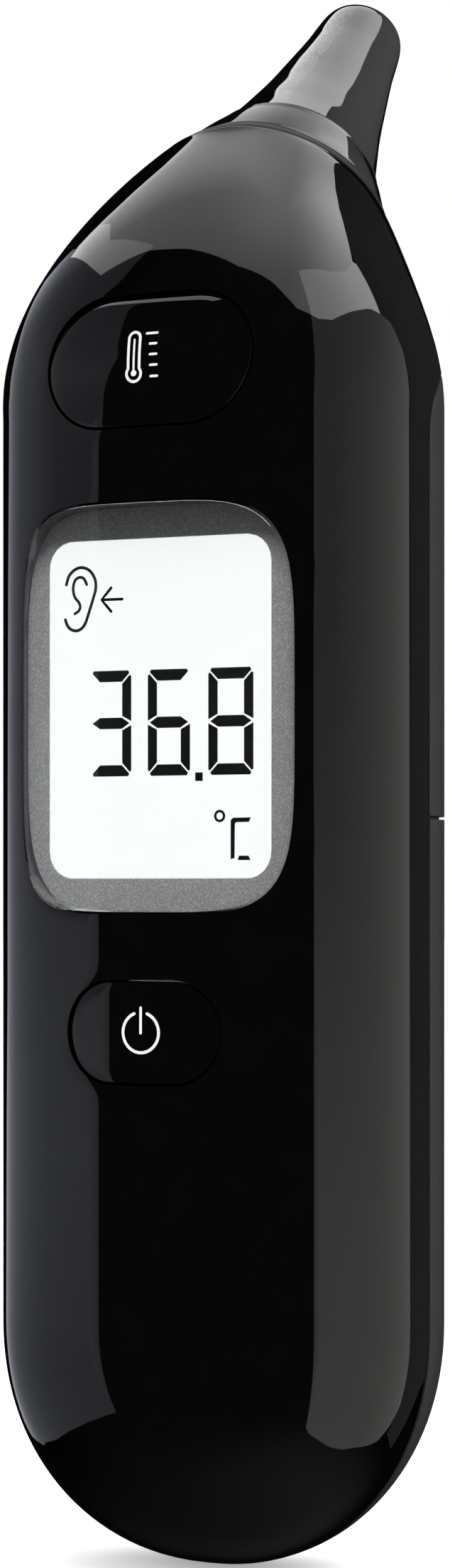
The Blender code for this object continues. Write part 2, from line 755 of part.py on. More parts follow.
# ---------------------------------------------------------------- screws
def screw(name, x, z, head_seat, length):
    """A pan-head screw driven along -Y; head_seat is the Y of the face under its head."""
    bottom = head_seat + GAP
    profile = [
        (0.0, bottom + 1.1 * MM),
        (SCREW_HEAD_RADIUS * 0.8, bottom + 1.1 * MM),
        (SCREW_HEAD_RADIUS, bottom + 0.7 * MM),
        (SCREW_HEAD_RADIUS, bottom),
        (SCREW_RADIUS, bottom),
        (SCREW_RADIUS, bottom - length + 0.6 * MM),
        (0.0, bottom - length),
    ]
    obj = turned(name, [(r, h - bottom) for r, h in profile], False, 12)
    obj.rotation_euler = (-math.pi / 2, 0.0, 0.0)
    obj.location = (x, bottom, z)
    slot = box(
        name + "_slot",
        (x - 1.3 * MM, bottom + 0.6 * MM, z - 0.25 * MM),
        (x + 1.3 * MM, bottom + 2.0 * MM, z + 0.25 * MM),
        cutters,
    )
    boolean(obj, slot)
    own_material(obj, name + "_steel", (0.55, 0.55, 0.55), 0.3, 1.0)
    return obj


for side, x in (("left", -SCREW_X), ("right", SCREW_X)):
    screw(f"case_screw_{side}", x, CASE_SCREW_Z, HEAD_SEAT, 13.0 * MM)
for index, (x, z) in enumerate(BOARD_SCREWS):
    screw(f"board_screw_{index + 1}", x, z, BOARD_BACK, 5.0 * MM)

# ---------------------------------------------------------------- battery tray and contacts
TRAY_HALF = 12.4 * MM
TRAY_WALL = 1.0 * MM
TRAY_FLOOR = 1.3 * MM
tray_back = CELL_Y + 1.6 * MM
battery_tray = box(
    "battery_tray",
    (-TRAY_HALF, TRAY_FRONT, TRAY_BOTTOM_Z),
    (TRAY_HALF, tray_back, TRAY_TOP_Z),
)
tray_wings = box(
    "tray_wings",
    (-18.6 * MM, TRAY_FRONT, 28 * MM),
    (18.6 * MM, TRAY_FRONT + TRAY_FLOOR, 71.5 * MM),
    cutters,
)
boolean(battery_tray, tray_wings, "UNION")
tray_hollow = box(
    "tray_hollow",
    (-TRAY_HALF + TRAY_WALL, TRAY_FRONT + TRAY_FLOOR, TRAY_BOTTOM_Z + TRAY_WALL),
    (TRAY_HALF - TRAY_WALL, 30 * MM, TRAY_TOP_Z - TRAY_WALL),
    cutters,
)
boolean(battery_tray, tray_hollow)
for side, x in (("left", -SCREW_X), ("right", SCREW_X)):
    for level, z in zip(("lower", "upper"), TRAY_SCREW_Z):
        hole = cylinder_y(
            f"tray_hole_{level}_{side}", (x, z), SCREW_RADIUS + GAP, -3 * MM, 3 * MM, 16, cutters
        )
        boolean(battery_tray, hole)
        screw(f"tray_screw_{level}_{side}", x, z, TRAY_FRONT + TRAY_FLOOR, 6.5 * MM)
own_material(battery_tray, "battery_tray_plastic", (0.03, 0.03, 0.03), 0.5)

CONTACT_LOW_Z = TRAY_BOTTOM_Z + TRAY_WALL + GAP
CONTACT_HIGH_Z = TRAY_TOP_Z - TRAY_WALL - GAP
CONTACT_THICKNESS = 0.4 * MM


def battery_cell(name, x, z_flat, direction):
    """An AAA cell. z_flat is its flat end, and direction points to the end with the button."""
    nub = 0.9 * MM
    profile = [
        (0.0, CELL_LENGTH),
        (1.9 * MM, CELL_LENGTH),
        (1.9 * MM, CELL_LENGTH - nub),
        (CELL_RADIUS - 0.5 * MM, CELL_LENGTH - nub),
        (CELL_RADIUS, CELL_LENGTH - nub - 0.5 * MM),
        (CELL_RADIUS, 0.4 * MM),
        (CELL_RADIUS - 0.4 * MM, 0.0),
        (0.0, 0.0),
    ]
    obj = turned(name, profile, False, 24)
    if direction < 0:
        obj.rotation_euler = (math.pi, 0.0, 0.0)
    obj.location = (x, CELL_Y, z_flat)
    own_material(obj, name + "_jacket", (0.35, 0.36, 0.38), 0.35, 0.7)
    return obj


def conical_spring(name, x, z_wide, z_narrow):
    """A conical compression coil that tapers from the contact to the cell."""
    turns, per_turn = 2.5, 10
    count = int(turns * per_turn)
    points = []
    for i in range(count + 1):
        t = i / count
        angle = 2 * math.pi * turns * t
        radius = mix(3.4, 1.8, t) * MM
        points.append(
            (x + radius * math.cos(angle), CELL_Y + radius * math.sin(angle), mix(z_wide, z_narrow, t))
        )
    obj = tube(name, points, 0.25 * MM)
    own_material(obj, name + "_steel", (0.7, 0.68, 0.62), 0.25, 1.0)
    return obj


left_flat = CONTACT_HIGH_Z - CONTACT_THICKNESS - GAP - CELL_LENGTH
right_flat = CONTACT_LOW_Z + CONTACT_THICKNESS + GAP + CELL_LENGTH
battery_cell("battery_cell_left", -CELL_X, left_flat, 1)
battery_cell("battery_cell_right", CELL_X, right_flat, -1)
bridge_contact = box(
    "bridge_contact",
    (-10.6 * MM, 1.0 * MM, CONTACT_LOW_Z),
    (10.6 * MM, 10.4 * MM, CONTACT_LOW_Z + CONTACT_THICKNESS),
)
own_material(bridge_contact, "bridge_contact_steel", (0.7, 0.68, 0.62), 0.25, 1.0)
for name, x in (("positive_contact", -CELL_X), ("negative_contact", CELL_X)):
    contact = box(
        name,
        (x - 4.6 * MM, 1.0 * MM, CONTACT_HIGH_Z - CONTACT_THICKNESS),
        (x + 4.6 * MM, 10.4 * MM, CONTACT_HIGH_Z),
    )
    own_material(contact, name + "_steel", (0.7, 0.68, 0.62), 0.25, 1.0)
wire = 0.25 * MM + 0.15 * MM
conical_spring(
    "bridge_spring", -CELL_X, CONTACT_LOW_Z + CONTACT_THICKNESS + wire, left_flat - wire
)
conical_spring(
    "negative_spring", CELL_X, CONTACT_HIGH_Z - CONTACT_THICKNESS - wire, right_flat + wire
)


# ---------------------------------------------------------------- probe
def on_probe(obj):
    obj.parent = probe_axis
    return obj


def ellipse_loop(distance, half_width, half_depth, count=40):
    loop = []
    for i in range(count):
        angle = 2 * math.pi * i / count
        loop.append((half_width * math.cos(angle), half_depth * math.sin(angle), -distance))
    return loop


NOZZLE_END = 25.4 * MM
TAIL_END = 39.5 * MM
BORE = 2.9 * MM
nozzle_outside = [
    (BORE, 0.5),
    (3.5 * MM, 0.5),
    (4.05 * MM, 0.9),
    (4.38 * MM, 1.5),
    (4.56 * MM, 2.3),
    (4.74 * MM, 3.8),
    (5.0 * MM, 6.2),
    (5.64 * MM, 10.3),
    (6.34 * MM, 14.5),
    (6.85 * MM, 17.2),
    (7.42 * MM, 19.7),
    (8.1 * MM, 22.6),
    (8.85 * MM, NOZZLE_END / MM),
    (TAIL_RADIUS, NOZZLE_END / MM),
    (TAIL_RADIUS, TAIL_END / MM),
    (5.9 * MM, TAIL_END / MM),
    (5.9 * MM, 24.4),
    (BORE, 24.4),
]
nozzle_profile = [(radius, -distance * MM) for radius, distance in nozzle_outside]
probe_nozzle = on_probe(turned("probe_nozzle", nozzle_profile, True, 32))
own_material(probe_nozzle, "probe_nozzle_gloss", (0.006, 0.006, 0.007), 0.08)

collar_loops = [
    ellipse_loop(32.45 * MM, 12.25 * MM, 11.45 * MM),
    ellipse_loop(26.3 * MM, 9.45 * MM, 9.3 * MM),
    ellipse_loop(25.75 * MM, 9.0 * MM, 8.95 * MM),
    ellipse_loop(25.75 * MM, 7.5 * MM, 7.5 * MM),
    ellipse_loop(32.45 * MM, 7.5 * MM, 7.5 * MM),
]
probe_collar = on_probe(loft("probe_collar", collar_loops, ring=True))
own_material(probe_collar, "probe_collar_gloss", (0.008, 0.008, 0.009), 0.1)

seal_loops = [
    ellipse_loop(33.85 * MM, 12.75 * MM, 11.85 * MM),
    ellipse_loop(32.75 * MM, 12.75 * MM, 11.85 * MM),
    ellipse_loop(32.75 * MM, 7.5 * MM, 7.5 * MM),
    ellipse_loop(33.85 * MM, 7.5 * MM, 7.5 * MM),
]
collar_seal = on_probe(loft("collar_seal", seal_loops, ring=True))
own_material(collar_seal, "collar_seal_rubber", (0.02, 0.02, 0.02), 0.6)


def probe_ring(name, outer, inner, start, end, colour, roughness, metallic=0.0, steps=32):
    profile = [(outer, -start), (outer, -end), (inner, -end), (inner, -start)]
    obj = on_probe(turned(name, profile, True, steps))
    own_material(obj, name + "_surface", colour, roughness, metallic)
    return obj


def probe_disc(name, radius, start, end, colour, roughness, metallic=0.0, alpha=1.0):
    profile = [(0.0, -start), (radius, -start), (radius, -end), (0.0, -end)]
    obj = on_probe(turned(name, profile, False, 24))
    own_material(obj, name + "_surface", colour, roughness, metallic, alpha)
    return obj


probe_ring("probe_retainer", 10.0 * MM, 7.5 * MM, 36.1 * MM, 38.6 * MM, (0.05, 0.05, 0.05), 0.5)
probe_disc("tip_window", 2.6 * MM, 0.9 * MM, 1.3 * MM, (0.02, 0.02, 0.025), 0.05, 0.3)
probe_ring("waveguide_tube", 2.6 * MM, 2.15 * MM, 1.6 * MM, 24.4 * MM, (0.83, 0.62, 0.25), 0.12, 1.0, 24)

housing_profile = [
    (5.6 * MM, -24.7 * MM),
    (5.6 * MM, -34.0 * MM),
    (4.5 * MM, -34.0 * MM),
    (4.5 * MM, -25.9 * MM),
    (2.3 * MM, -25.9 * MM),
    (2.3 * MM, -24.7 * MM),
]
sensor_housing = on_probe(turned("sensor_housing", housing_profile, True, 32))
own_material(sensor_housing, "sensor_housing_aluminium", (0.6, 0.6, 0.6), 0.35, 1.0)
can_profile = [
    (0.0, -26.2 * MM),
    (3.9 * MM, -26.2 * MM),
    (3.9 * MM, -29.6 * MM),
    (4.2 * MM, -29.6 * MM),
    (4.2 * MM, -30.2 * MM),
    (0.0, -30.2 * MM),
]
thermopile_can = on_probe(turned("thermopile_can", can_profile, False, 24))
own_material(thermopile_can, "thermopile_can_steel", (0.7, 0.68, 0.6), 0.2, 1.0)
probe_disc("sensor_board", 4.2 * MM, 30.6 * MM, 31.6 * MM, (0.01, 0.13, 0.05), 0.45)

# The sensor's lead runs from its board down the middle of the neck to the main board.
lead_start = neck_point(32.1 * MM, 0.0)
lead_points = []
LEAD_STEPS = 22
for i in range(LEAD_STEPS + 1):
    y, z = cubic(
        lead_start,
        neck_point(44.0 * MM, 0.0),
        (-4.0 * MM, 126.0 * MM),
        (BOARD_BACK + 0.6 * MM + GAP, 119.5 * MM),
        i / LEAD_STEPS,
    )
    lead_points.append((0.0, y, z))
sensor_lead = tube("sensor_lead", lead_points, 0.6 * MM)
own_material(sensor_lead, "sensor_lead_jacket", (0.5, 0.5, 0.5), 0.5)

# ---------------------------------------------------------------- finish
ORIGINS = {
    "measure_button": (0.0, -FRONT_DEPTH, MEASURE_Z),
    "measure_plunger": (0.0, FLANGE_BACK, MEASURE_Z),
    "power_button": (0.0, -FRONT_DEPTH, POWER_Z),
    "power_plunger": (0.0, FLANGE_BACK, POWER_Z),
    "battery_cover": (0.0, REAR_FLAT, 48.0 * MM),
}
for name, point in ORIGINS.items():
    move_origin(bpy.data.objects[name], point)
for name in ("front_shell", "rear_shell", "battery_cover", "measure_button", "power_button"):
    shade(bpy.data.objects[name])
for name in ("display_lens", "probe_collar", "collar_seal", "buzzer"):
    shade(bpy.data.objects[name])

for obj in list(parts.objects) + list(cutters.objects):
    if obj.parent is None:
        obj.location.y += DEPTH_SHIFT
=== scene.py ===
"""Infrared ear thermometer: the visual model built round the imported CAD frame.

The shells, buttons, lens, display and probe are rebuilt here as fine meshes on the same
surfaces as the CAD solids. Everything inside keeps its CAD node, with a better material.
"""

import functools
import math

import bmesh
import bpy
import numpy as np
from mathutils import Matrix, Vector
from mathutils.geometry import delaunay_2d_cdt


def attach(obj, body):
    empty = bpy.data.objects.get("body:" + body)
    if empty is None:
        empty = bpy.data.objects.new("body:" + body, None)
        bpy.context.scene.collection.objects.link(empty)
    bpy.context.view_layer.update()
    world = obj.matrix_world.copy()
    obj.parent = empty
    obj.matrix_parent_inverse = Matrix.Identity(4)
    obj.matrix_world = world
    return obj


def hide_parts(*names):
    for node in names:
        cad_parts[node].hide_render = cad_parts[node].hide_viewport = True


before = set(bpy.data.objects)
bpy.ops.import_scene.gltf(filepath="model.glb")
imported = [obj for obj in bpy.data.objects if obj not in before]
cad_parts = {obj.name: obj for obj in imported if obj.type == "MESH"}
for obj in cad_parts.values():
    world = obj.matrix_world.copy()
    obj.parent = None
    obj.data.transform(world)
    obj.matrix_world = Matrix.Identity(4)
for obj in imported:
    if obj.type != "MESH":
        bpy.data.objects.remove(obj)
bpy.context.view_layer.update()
MAIN = "thermometer"
MEASURE_BODY = "measure_button_body"
POWER_BODY = "power_button_body"
COVER_BODY = "battery_cover_body"

MM = 0.001

# The body's own frame: Y = 0 is the parting plane, -Y the front, all in millimetres.
HALF_WIDTH = 22.08
FRONT_DEPTH = 17.76
REAR_DEPTH = 13.62
REAR_FLAT = 13.26
FRONT_EXPONENT = 2.457
REAR_EXPONENT = 2.6
END_HEIGHT = 24.0
END_EXPONENT = 2.1
END_REAR_EXPONENT = 1.75
SHOULDER_Z = 113.4
PROBE_LEAN = math.radians(44.0)
TIP_Y = 32.6
TIP_Z = 158.4
NECK_DISTANCE = 34.15
NECK_HALF_WIDTH = 13.38
NECK_HALF_DEPTH = 12.43
NECK_EDGE = 0.3
TIP_OVERHANG = 2.288
DEPTH_SHIFT = (FRONT_DEPTH - TIP_Y - TIP_OVERHANG) / 2
GAP = 0.3
COVER_SPLIT_Z = 73.6
# The parting line seen from the side, as (y, z), from the straight body up over the shoulder.
SEAM_PATH = (
    (0.0, 110.0), (0.3, 112.4), (1.1, 114.2), (2.5, 115.6), (4.4, 116.6), (18.0, 122.6),
    (40.0, 132.3),
)
# The shoulder's lines: how far they run on upright, and how they come to the neck.
FRONT_RISE, FRONT_APPROACH = 15.1, (0.6, 1.6)
BACK_RISE, BACK_APPROACH = 6.1, (3.9, 5.2)
SHOULDER_WIDTHS = ((22.5,), (16.25,))
SHOULDER_EXPONENTS = (2.6, 2.35)
RING_INSET = 4.7
HALVINGS = 34


def mix(a, b, t):
    return a + (b - a) * t


def to_world(point):
    """A point of the body's frame in millimetres, as a vector of the row frame in metres."""
    x, y, z = point
    return Vector((x * MM, (y + DEPTH_SHIFT) * MM, z * MM))


def cubic(a, b, c, d, t):
    s = 1 - t
    weights = (s**3, 3 * s * s * t, 3 * s * t * t, t**3)
    return tuple(sum(w * p for w, p in zip(weights, each)) for each in zip(a, b, c, d))


def neck_point(distance, across):
    """(y, z) at a distance down the probe's axis and an offset across it, to the rear."""
    y = TIP_Y - distance * math.sin(PROBE_LEAN) + across * math.cos(PROBE_LEAN)
    z = TIP_Z - distance * math.cos(PROBE_LEAN) - across * math.sin(PROBE_LEAN)
    return y, z


def shoulder_line(y, rise, end, approach, t):
    """The (y, z) at t of the shoulder's front or back line, from the straight body at y."""
    before = (end[0] - approach[0], end[1] - approach[1])
    return cubic((y, SHOULDER_Z), (y, SHOULDER_Z + rise), before, end, t)


@functools.lru_cache(maxsize=None)
def station(v):
    """The body's cross-section at v: its half width, its front and back points as (y, z), where
    the middle lies between them, the two exponents and the share at which the rear is flat.
    v runs over the rounded end (0 to 1), the straight body (to 2), the shoulder (to 3), the
    neck's rounded edge (to 4) and the ring under the probe's collar (to 5)."""
    if v < 2:
        width = rear = 1.0
        z = mix(END_HEIGHT, SHOULDER_Z, v - 1)
        if v < 1:
            q = math.cos(math.pi / 2 * v) ** (2 / END_EXPONENT)
            width = max(0.0, 1 - q**END_EXPONENT) ** (1 / END_EXPONENT)
            rear = max(0.0, 1 - q**END_REAR_EXPONENT) ** (1 / END_REAR_EXPONENT)
            z = END_HEIGHT * (1 - q)
        front_depth = FRONT_DEPTH * width
        rear_depth = REAR_DEPTH * rear
        split = front_depth / (front_depth + rear_depth) if v > 0 else 0.5
        flat = REAR_FLAT / REAR_DEPTH
        ends = ((-front_depth, z), (rear_depth, z))
        return HALF_WIDTH * width, *ends, split, FRONT_EXPONENT, REAR_EXPONENT, flat
    if v <= 3:
        t = v - 2
        rim = NECK_DISTANCE + NECK_EDGE
        front_end = neck_point(rim, -NECK_HALF_DEPTH)
        back_end = neck_point(rim, NECK_HALF_DEPTH)
        front = shoulder_line(-FRONT_DEPTH, FRONT_RISE, front_end, FRONT_APPROACH, t)
        back = shoulder_line(REAR_DEPTH, BACK_RISE, back_end, BACK_APPROACH, t)
        width = cubic((HALF_WIDTH,), *SHOULDER_WIDTHS, (NECK_HALF_WIDTH,), t)[0]
        split = mix(FRONT_DEPTH / (FRONT_DEPTH + REAR_DEPTH), 0.5, t)
        exponents = (
            mix(mix(start, bend, t), mix(bend, 2.0, t), t)
            for start, bend in zip((FRONT_EXPONENT, REAR_EXPONENT), SHOULDER_EXPONENTS)
        )
        flat = mix(REAR_FLAT / REAR_DEPTH, 1.0, min(1.0, t * 2.5))
        return width, front, back, split, *exponents, flat
    turn = math.pi / 2 * min(1.0, v - 3)
    inset = NECK_EDGE * (1 - math.cos(turn)) + max(0.0, v - 4) * RING_INSET
    distance = NECK_DISTANCE + NECK_EDGE * (1 - math.sin(turn))
    reach = NECK_HALF_DEPTH - inset
    ends = (neck_point(distance, -reach), neck_point(distance, reach))
    return NECK_HALF_WIDTH - inset, *ends, 0.5, 2.0, 2.0, 1.0


def at_angle(angle, v):
    """The point of the skin at an angle round the body from its front, on the +X side."""
    width, front, back, split, n_front, n_rear, flat = station(v)
    s, c = math.sin(angle), -math.cos(angle)
    n = n_front if c < 0 else n_rear
    across = width * math.copysign(abs(s) ** (2 / n), s)
    along = abs(c) ** (2 / n)
    along = -split * along if c < 0 else (1 - split) * min(along, flat)
    along += split
    return across, mix(front[0], back[0], along), mix(front[1], back[1], along)


def girth_table():
    """Angles round the straight body against an even measure: 0 front, 1 side, 2 rear."""
    girth, angles = [0.0], [0.0]
    for half in range(2):
        steps = [math.pi / 2 * (half + i / 400) for i in range(401)]
        points = [at_angle(a, 1.5) for a in steps]
        lengths = [math.dist(p, q) for p, q in zip(points, points[1:])]
        walked = 0.0
        for angle, length in zip(steps[1:], lengths):
            walked += length
            girth.append(half + walked / sum(lengths))
            angles.append(angle)
    return girth, angles


GIRTH, ANGLES = girth_table()


def skin(g, v):
    """The point of the skin at girth g (-2 to 2, negative on the -X side) and station v."""
    x, y, z = at_angle(float(np.interp(abs(g), GIRTH, ANGLES)), v)
    return math.copysign(1.0, g) * x, y, z


# ---------------------------------------------------------------- the parting line
def smooth_path(points, steps):
    """A denser path through the points, with Catmull-Rom pieces between them."""
    points = [np.array(p, float) for p in points]
    ends = [2 * points[0] - points[1], *points, 2 * points[-1] - points[-2]]
    path = []
    for a, b, c, d in zip(ends, ends[1:], ends[2:], ends[3:]):
        for i in range(steps):
            t = i / steps
            path.append(
                0.5
                * (
                    2 * b
                    + (c - a) * t
                    + (2 * a - 5 * b + 4 * c - d) * t * t
                    + (3 * b - a - 3 * c + d) * t**3
                )
            )
    path.append(points[-1])
    return path


SEAM_LINE = np.array([(0.0, -20.0), *smooth_path(SEAM_PATH, 6)])
SEAM_START = SEAM_LINE[:-1]
SEAM_STEP = np.diff(SEAM_LINE, axis=0)
SEAM_LENGTH_2 = (SEAM_STEP**2).sum(1)


def beyond_seam(point):
    """How far a point of the body's frame lies behind the parting line, seen from the side."""
    offset = np.array(point[1:]) - SEAM_START
    t = np.clip((offset * SEAM_STEP).sum(1) / SEAM_LENGTH_2, 0, 1)
    away = offset - SEAM_STEP * t[:, None]
    distance = (away**2).sum(1)
    i = int(distance.argmin())
    cross = SEAM_STEP[i, 0] * offset[i, 1] - SEAM_STEP[i, 1] * offset[i, 0]
    return math.copysign(math.sqrt(distance[i]), -cross)


def halve(reached, low, high):
    """Where reached(t) turns true on the way from low to high."""
    for _ in range(HALVINGS):
        middle = (low + high) / 2
        if reached(middle):
            high = middle
        else:
            low = middle
    return (low + high) / 2


def crossing(place, low, high, offset):
    """Where place(t) crosses the line at this offset behind the parting line."""
    rising = beyond_seam(place(high)) > offset
    return halve(lambda t: (beyond_seam(place(t)) > offset) == rising, low, high)


@functools.lru_cache(maxsize=None)
def seam_girth(v, offset):
    return crossing(lambda g: skin(g, v), 0.0, 2.0, offset)


@functools.lru_cache(maxsize=None)
def seam_station(g, offset):
    return crossing(lambda v: skin(g, v), 2.9, 1.9, offset)


CORNER_Y = 1.8


def seam_corner(offset):
    """(girth, station) of the point where the parting line turns from upright to level."""
    v = halve(lambda v: skin(seam_girth(v, offset), v)[1] >= CORNER_Y, 1.95, 2.3)
    return seam_girth(v, offset), v


# ---------------------------------------------------------------- meshes
def even_loop(curve, count, dense=4000):
    """Evenly spaced points of a closed curve(t), t from 0 to 1, with their outward normals."""
    points = np.array([curve(i / dense) for i in range(dense + 1)])
    lengths = np.hypot(*np.diff(points, axis=0).T)
    walked = np.concatenate([[0.0], np.cumsum(lengths)])
    at = np.linspace(0, walked[-1], count, endpoint=False)
    loop = np.stack([np.interp(at, walked, points[:, i]) for i in range(2)], 1)
    along = np.roll(loop, -1, 0) - np.roll(loop, 1, 0)
    along /= np.hypot(*along.T)[:, None]
    normals = np.stack([along[:, 1], -along[:, 0]], 1)
    if ((loop - loop.mean(0)) * normals).sum() < 0:
        normals = -normals
    return loop, normals


def superellipse_curve(a, b, n, z):
    def curve(t):
        c, s = math.cos(2 * math.pi * t), math.sin(2 * math.pi * t)
        x = a * math.copysign(abs(c) ** (2 / n), c)
        return x, z + b * math.copysign(abs(s) ** (2 / n), s)

    return curve


def stadium_curve(half_width, half_height, z):
    straight = half_width - half_height
    quarter = math.pi * half_height
    total = 2 * quarter + 4 * straight

    def curve(t):
        walked = t * total
        for side in (1, -1):
            if walked <= quarter:
                turn = -math.pi / 2 + walked / half_height
                x, y = half_height * math.cos(turn), half_height * math.sin(turn)
                return side * (straight + x), z + side * y
            walked -= quarter
            if walked <= 2 * straight:
                return side * (straight - walked), z + side * half_height
            walked -= 2 * straight
        return straight, z - half_height

    return curve


def rounded_box_curve(a, b, radius, z):
    def curve(t):
        corner = int(t * 4) % 4
        turn = (t * 4 - int(t * 4)) if t < 1 else 0.0
        middle = ((1, 1), (-1, 1), (-1, -1), (1, -1))[corner]
        angle = math.pi / 2 * (corner + turn)
        return (
            middle[0] * (a - radius) + radius * math.cos(angle),
            z + middle[1] * (b - radius) + radius * math.sin(angle),
        )

    return curve


def inside(loop, points):
    """Which of the points lie inside the closed loop."""
    a, b = loop, np.roll(loop, -1, 0)
    x, y = points[:, 0:1], points[:, 1:2]
    spans = (a[:, 1] > y) != (b[:, 1] > y)
    rise = b[:, 1] - a[:, 1]
    rise = np.where(np.abs(rise) < 1e-12, 1e-12, rise)
    hit = x < a[:, 0] + (y - a[:, 1]) * (b[:, 0] - a[:, 0]) / rise
    return (spans & hit).sum(1) % 2 == 1


def distance_to(loop, points):
    a, b = loop, np.roll(loop, -1, 0)
    step = b - a
    offset = points[:, None, :] - a[None]
    t = np.clip((offset * step).sum(2) / (step**2).sum(1), 0, 1)
    away = offset - step[None] * t[..., None]
    return np.sqrt((away**2).sum(2)).min(1)


def loop_edges(first, count):
    return [(first + i, first + (i + 1) % count) for i in range(count)]


def triangulate(points, edges, kind=1, epsilon=1e-6):
    """Delaunay triangles of plane points: (points, faces, source points of each). Kind 1 is
    what the edges enclose, kind 0 all of it."""
    flat = [Vector(p) for p in points]
    made, _, faces, source, _, _ = delaunay_2d_cdt(flat, edges, [], kind, epsilon)
    return made, faces, source


def face_middles(points, faces):
    return np.array([sum((points[i] for i in f), Vector((0, 0))) / len(f) for f in faces])


def ring_quads(rings, closed=False):
    """Quads between neighbouring rings of point numbers, and from last to first if closed."""
    faces = []
    for ring, following in zip(rings, rings[1:] + rings[:1] if closed else rings[1:]):
        for i, j in loop_edges(0, len(ring)):
            faces.append((ring[i], ring[j], following[j], following[i]))
    return faces


BLOCK_MARGIN = 1.2
HOLE_CLEARANCE = 0.45


class Patch:
    """A lattice of columns and rows on a surface. place(column, row) takes any numbers."""

    def __init__(self, place, columns, rows):
        self.place = place
        self.columns = columns
        self.rows = rows
        self.points = []
        self.faces = []
        self.blocks = []
        self.lattice = {}

    def add(self, point):
        self.points.append(to_world(point))
        return len(self.points) - 1

    def node(self, k, r):
        if (k, r) not in self.lattice:
            self.lattice[k, r] = self.add(self.place(k, r))
        return self.lattice[k, r]

    def settle(self, x, z, start):
        """(column, row) of the surface point that has this x and z."""
        k, r = start
        step = 1e-3
        for _ in range(12):
            here = self.place(k, r)
            across = self.place(k + step, r)
            up = self.place(k, r + step)
            a, b = (across[0] - here[0]) / step, (up[0] - here[0]) / step
            c, d = (across[2] - here[2]) / step, (up[2] - here[2]) / step
            ex, ez = x - here[0], z - here[2]
            size = a * d - b * c
            k += (d * ex - b * ez) / size
            r += (a * ez - c * ex) / size
            if abs(ex) + abs(ez) < 1e-7:
                break
        return k, r

    def cut(self, curve, count, offsets, roll, start):
        """Opens a hole along a closed curve in x and z. The surface rolls in towards it."""
        loop, normals = even_loop(curve, count)
        rings, ring_at = [], []
        for offset in offsets:
            at, row = [], []
            for (x, z), (nx, nz) in zip(loop, normals):
                start = self.settle(x + nx * offset, z + nz * offset, start)
                px, py, pz = self.place(*start)
                py += roll * (1 - offset / offsets[-1]) ** 2
                at.append(start)
                row.append(self.add((px, py, pz)))
            ring_at.append(np.array(at))
            rings.append(row)
        self.faces += ring_quads(rings)
        rim = ring_at[-1]
        k0, r0 = (math.floor(m - BLOCK_MARGIN) for m in rim.min(0))
        k1, r1 = (math.ceil(m + BLOCK_MARGIN) for m in rim.max(0))
        self.blocks.append((k0, k1, r0, r1))
        grid = np.array([(k, r) for r in range(r0, r1 + 1) for k in range(k0, k1 + 1)], float)
        border = np.isin(grid[:, 0], (k0, k1)) | np.isin(grid[:, 1], (r0, r1))
        grid = grid[border | (~inside(rim, grid) & (distance_to(rim, grid) > HOLE_CLEARANCE))]
        own = [self.node(int(k), int(r)) for k, r in grid] + rings[-1]
        made, faces, source = triangulate([*grid, *rim], loop_edges(len(grid), count), 0)
        index = [own[o[0]] if o else self.add(self.place(*at)) for at, o in zip(made, source)]
        for face, hidden in zip(faces, inside(rim, face_middles(made, faces))):
            if not hidden:
                self.faces.append(tuple(index[i] for i in face))

    def fill(self):
        """Quads for every lattice cell that no hole's block has taken."""
        k0, k1 = self.columns
        for r in range(self.rows):
            for k in range(k0, k1):
                taken = any(a <= k < b and c <= r < d for a, b, c, d in self.blocks)
                if not taken:
                    corners = ((k, r), (k + 1, r), (k + 1, r + 1), (k, r + 1))
                    self.faces.append(tuple(self.node(*c) for c in corners))


def scene_object(name, data):
    obj = bpy.data.objects.new(name, data)
    bpy.context.scene.collection.objects.link(obj)
    return obj


def mesh_object(name, points, faces, body, look, replaces=(), outward=None, smooth=True):
    """A piece of a body. Its look is (slot, material), but the slot is not used. Open sheets are
    turned so that they face away from outward."""
    slot, made_of = look
    bm = bmesh.new()
    verts = [bm.verts.new(p) for p in points]
    for face in faces:
        ring = list(dict.fromkeys(verts[i] for i in face))
        if len(ring) > 2 and not bm.faces.get(ring):
            bm.faces.new(ring)
    bmesh.ops.remove_doubles(bm, verts=bm.verts, dist=1e-6)
    bmesh.ops.dissolve_degenerate(bm, edges=bm.edges, dist=1e-7)
    loose = [v for v in bm.verts if not v.link_faces]
    bmesh.ops.delete(bm, geom=loose, context="VERTS")
    bmesh.ops.recalc_face_normals(bm, faces=bm.faces)
    if outward is not None:
        away = ((f, f.calc_center_median() - outward) for f in bm.faces)
        if sum(f.normal.dot(a) * f.calc_area() for f, a in away) < 0:
            bmesh.ops.reverse_faces(bm, faces=bm.faces)
    mesh = bpy.data.meshes.new(name)
    bm.to_mesh(mesh)
    bm.free()
    mesh.polygons.foreach_set("use_smooth", [smooth] * len(mesh.polygons))
    obj = scene_object(name, mesh)
    mesh.materials.append(made_of)
    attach(obj, body)
    if replaces:
        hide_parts(*replaces)
    return obj


def solidify(obj, thickness):
    modifier = obj.modifiers.new("wall", "SOLIDIFY")
    modifier.thickness = thickness * MM
    modifier.offset = -1.0


def bevel(obj, width, segments=2, angle=50):
    modifier = obj.modifiers.new("edges", "BEVEL")
    modifier.width = width * MM
    modifier.segments = segments
    modifier.limit_method = "ANGLE"
    modifier.angle_limit = math.radians(angle)
    modifier.harden_normals = True


# ---------------------------------------------------------------- materials
def wire(tree, node, inputs):
    """Sets each of a node's inputs to a constant or to another node's output."""
    for name, value in inputs.items():
        if isinstance(value, bpy.types.NodeSocket):
            tree.links.new(value, node.inputs[name])
        else:
            node.inputs[name].default_value = value
    return node


def add_node(tree, kind, inputs, **settings):
    node = tree.nodes.new("ShaderNode" + kind)
    for name, value in settings.items():
        setattr(node, name, value)
    return wire(tree, node, inputs)


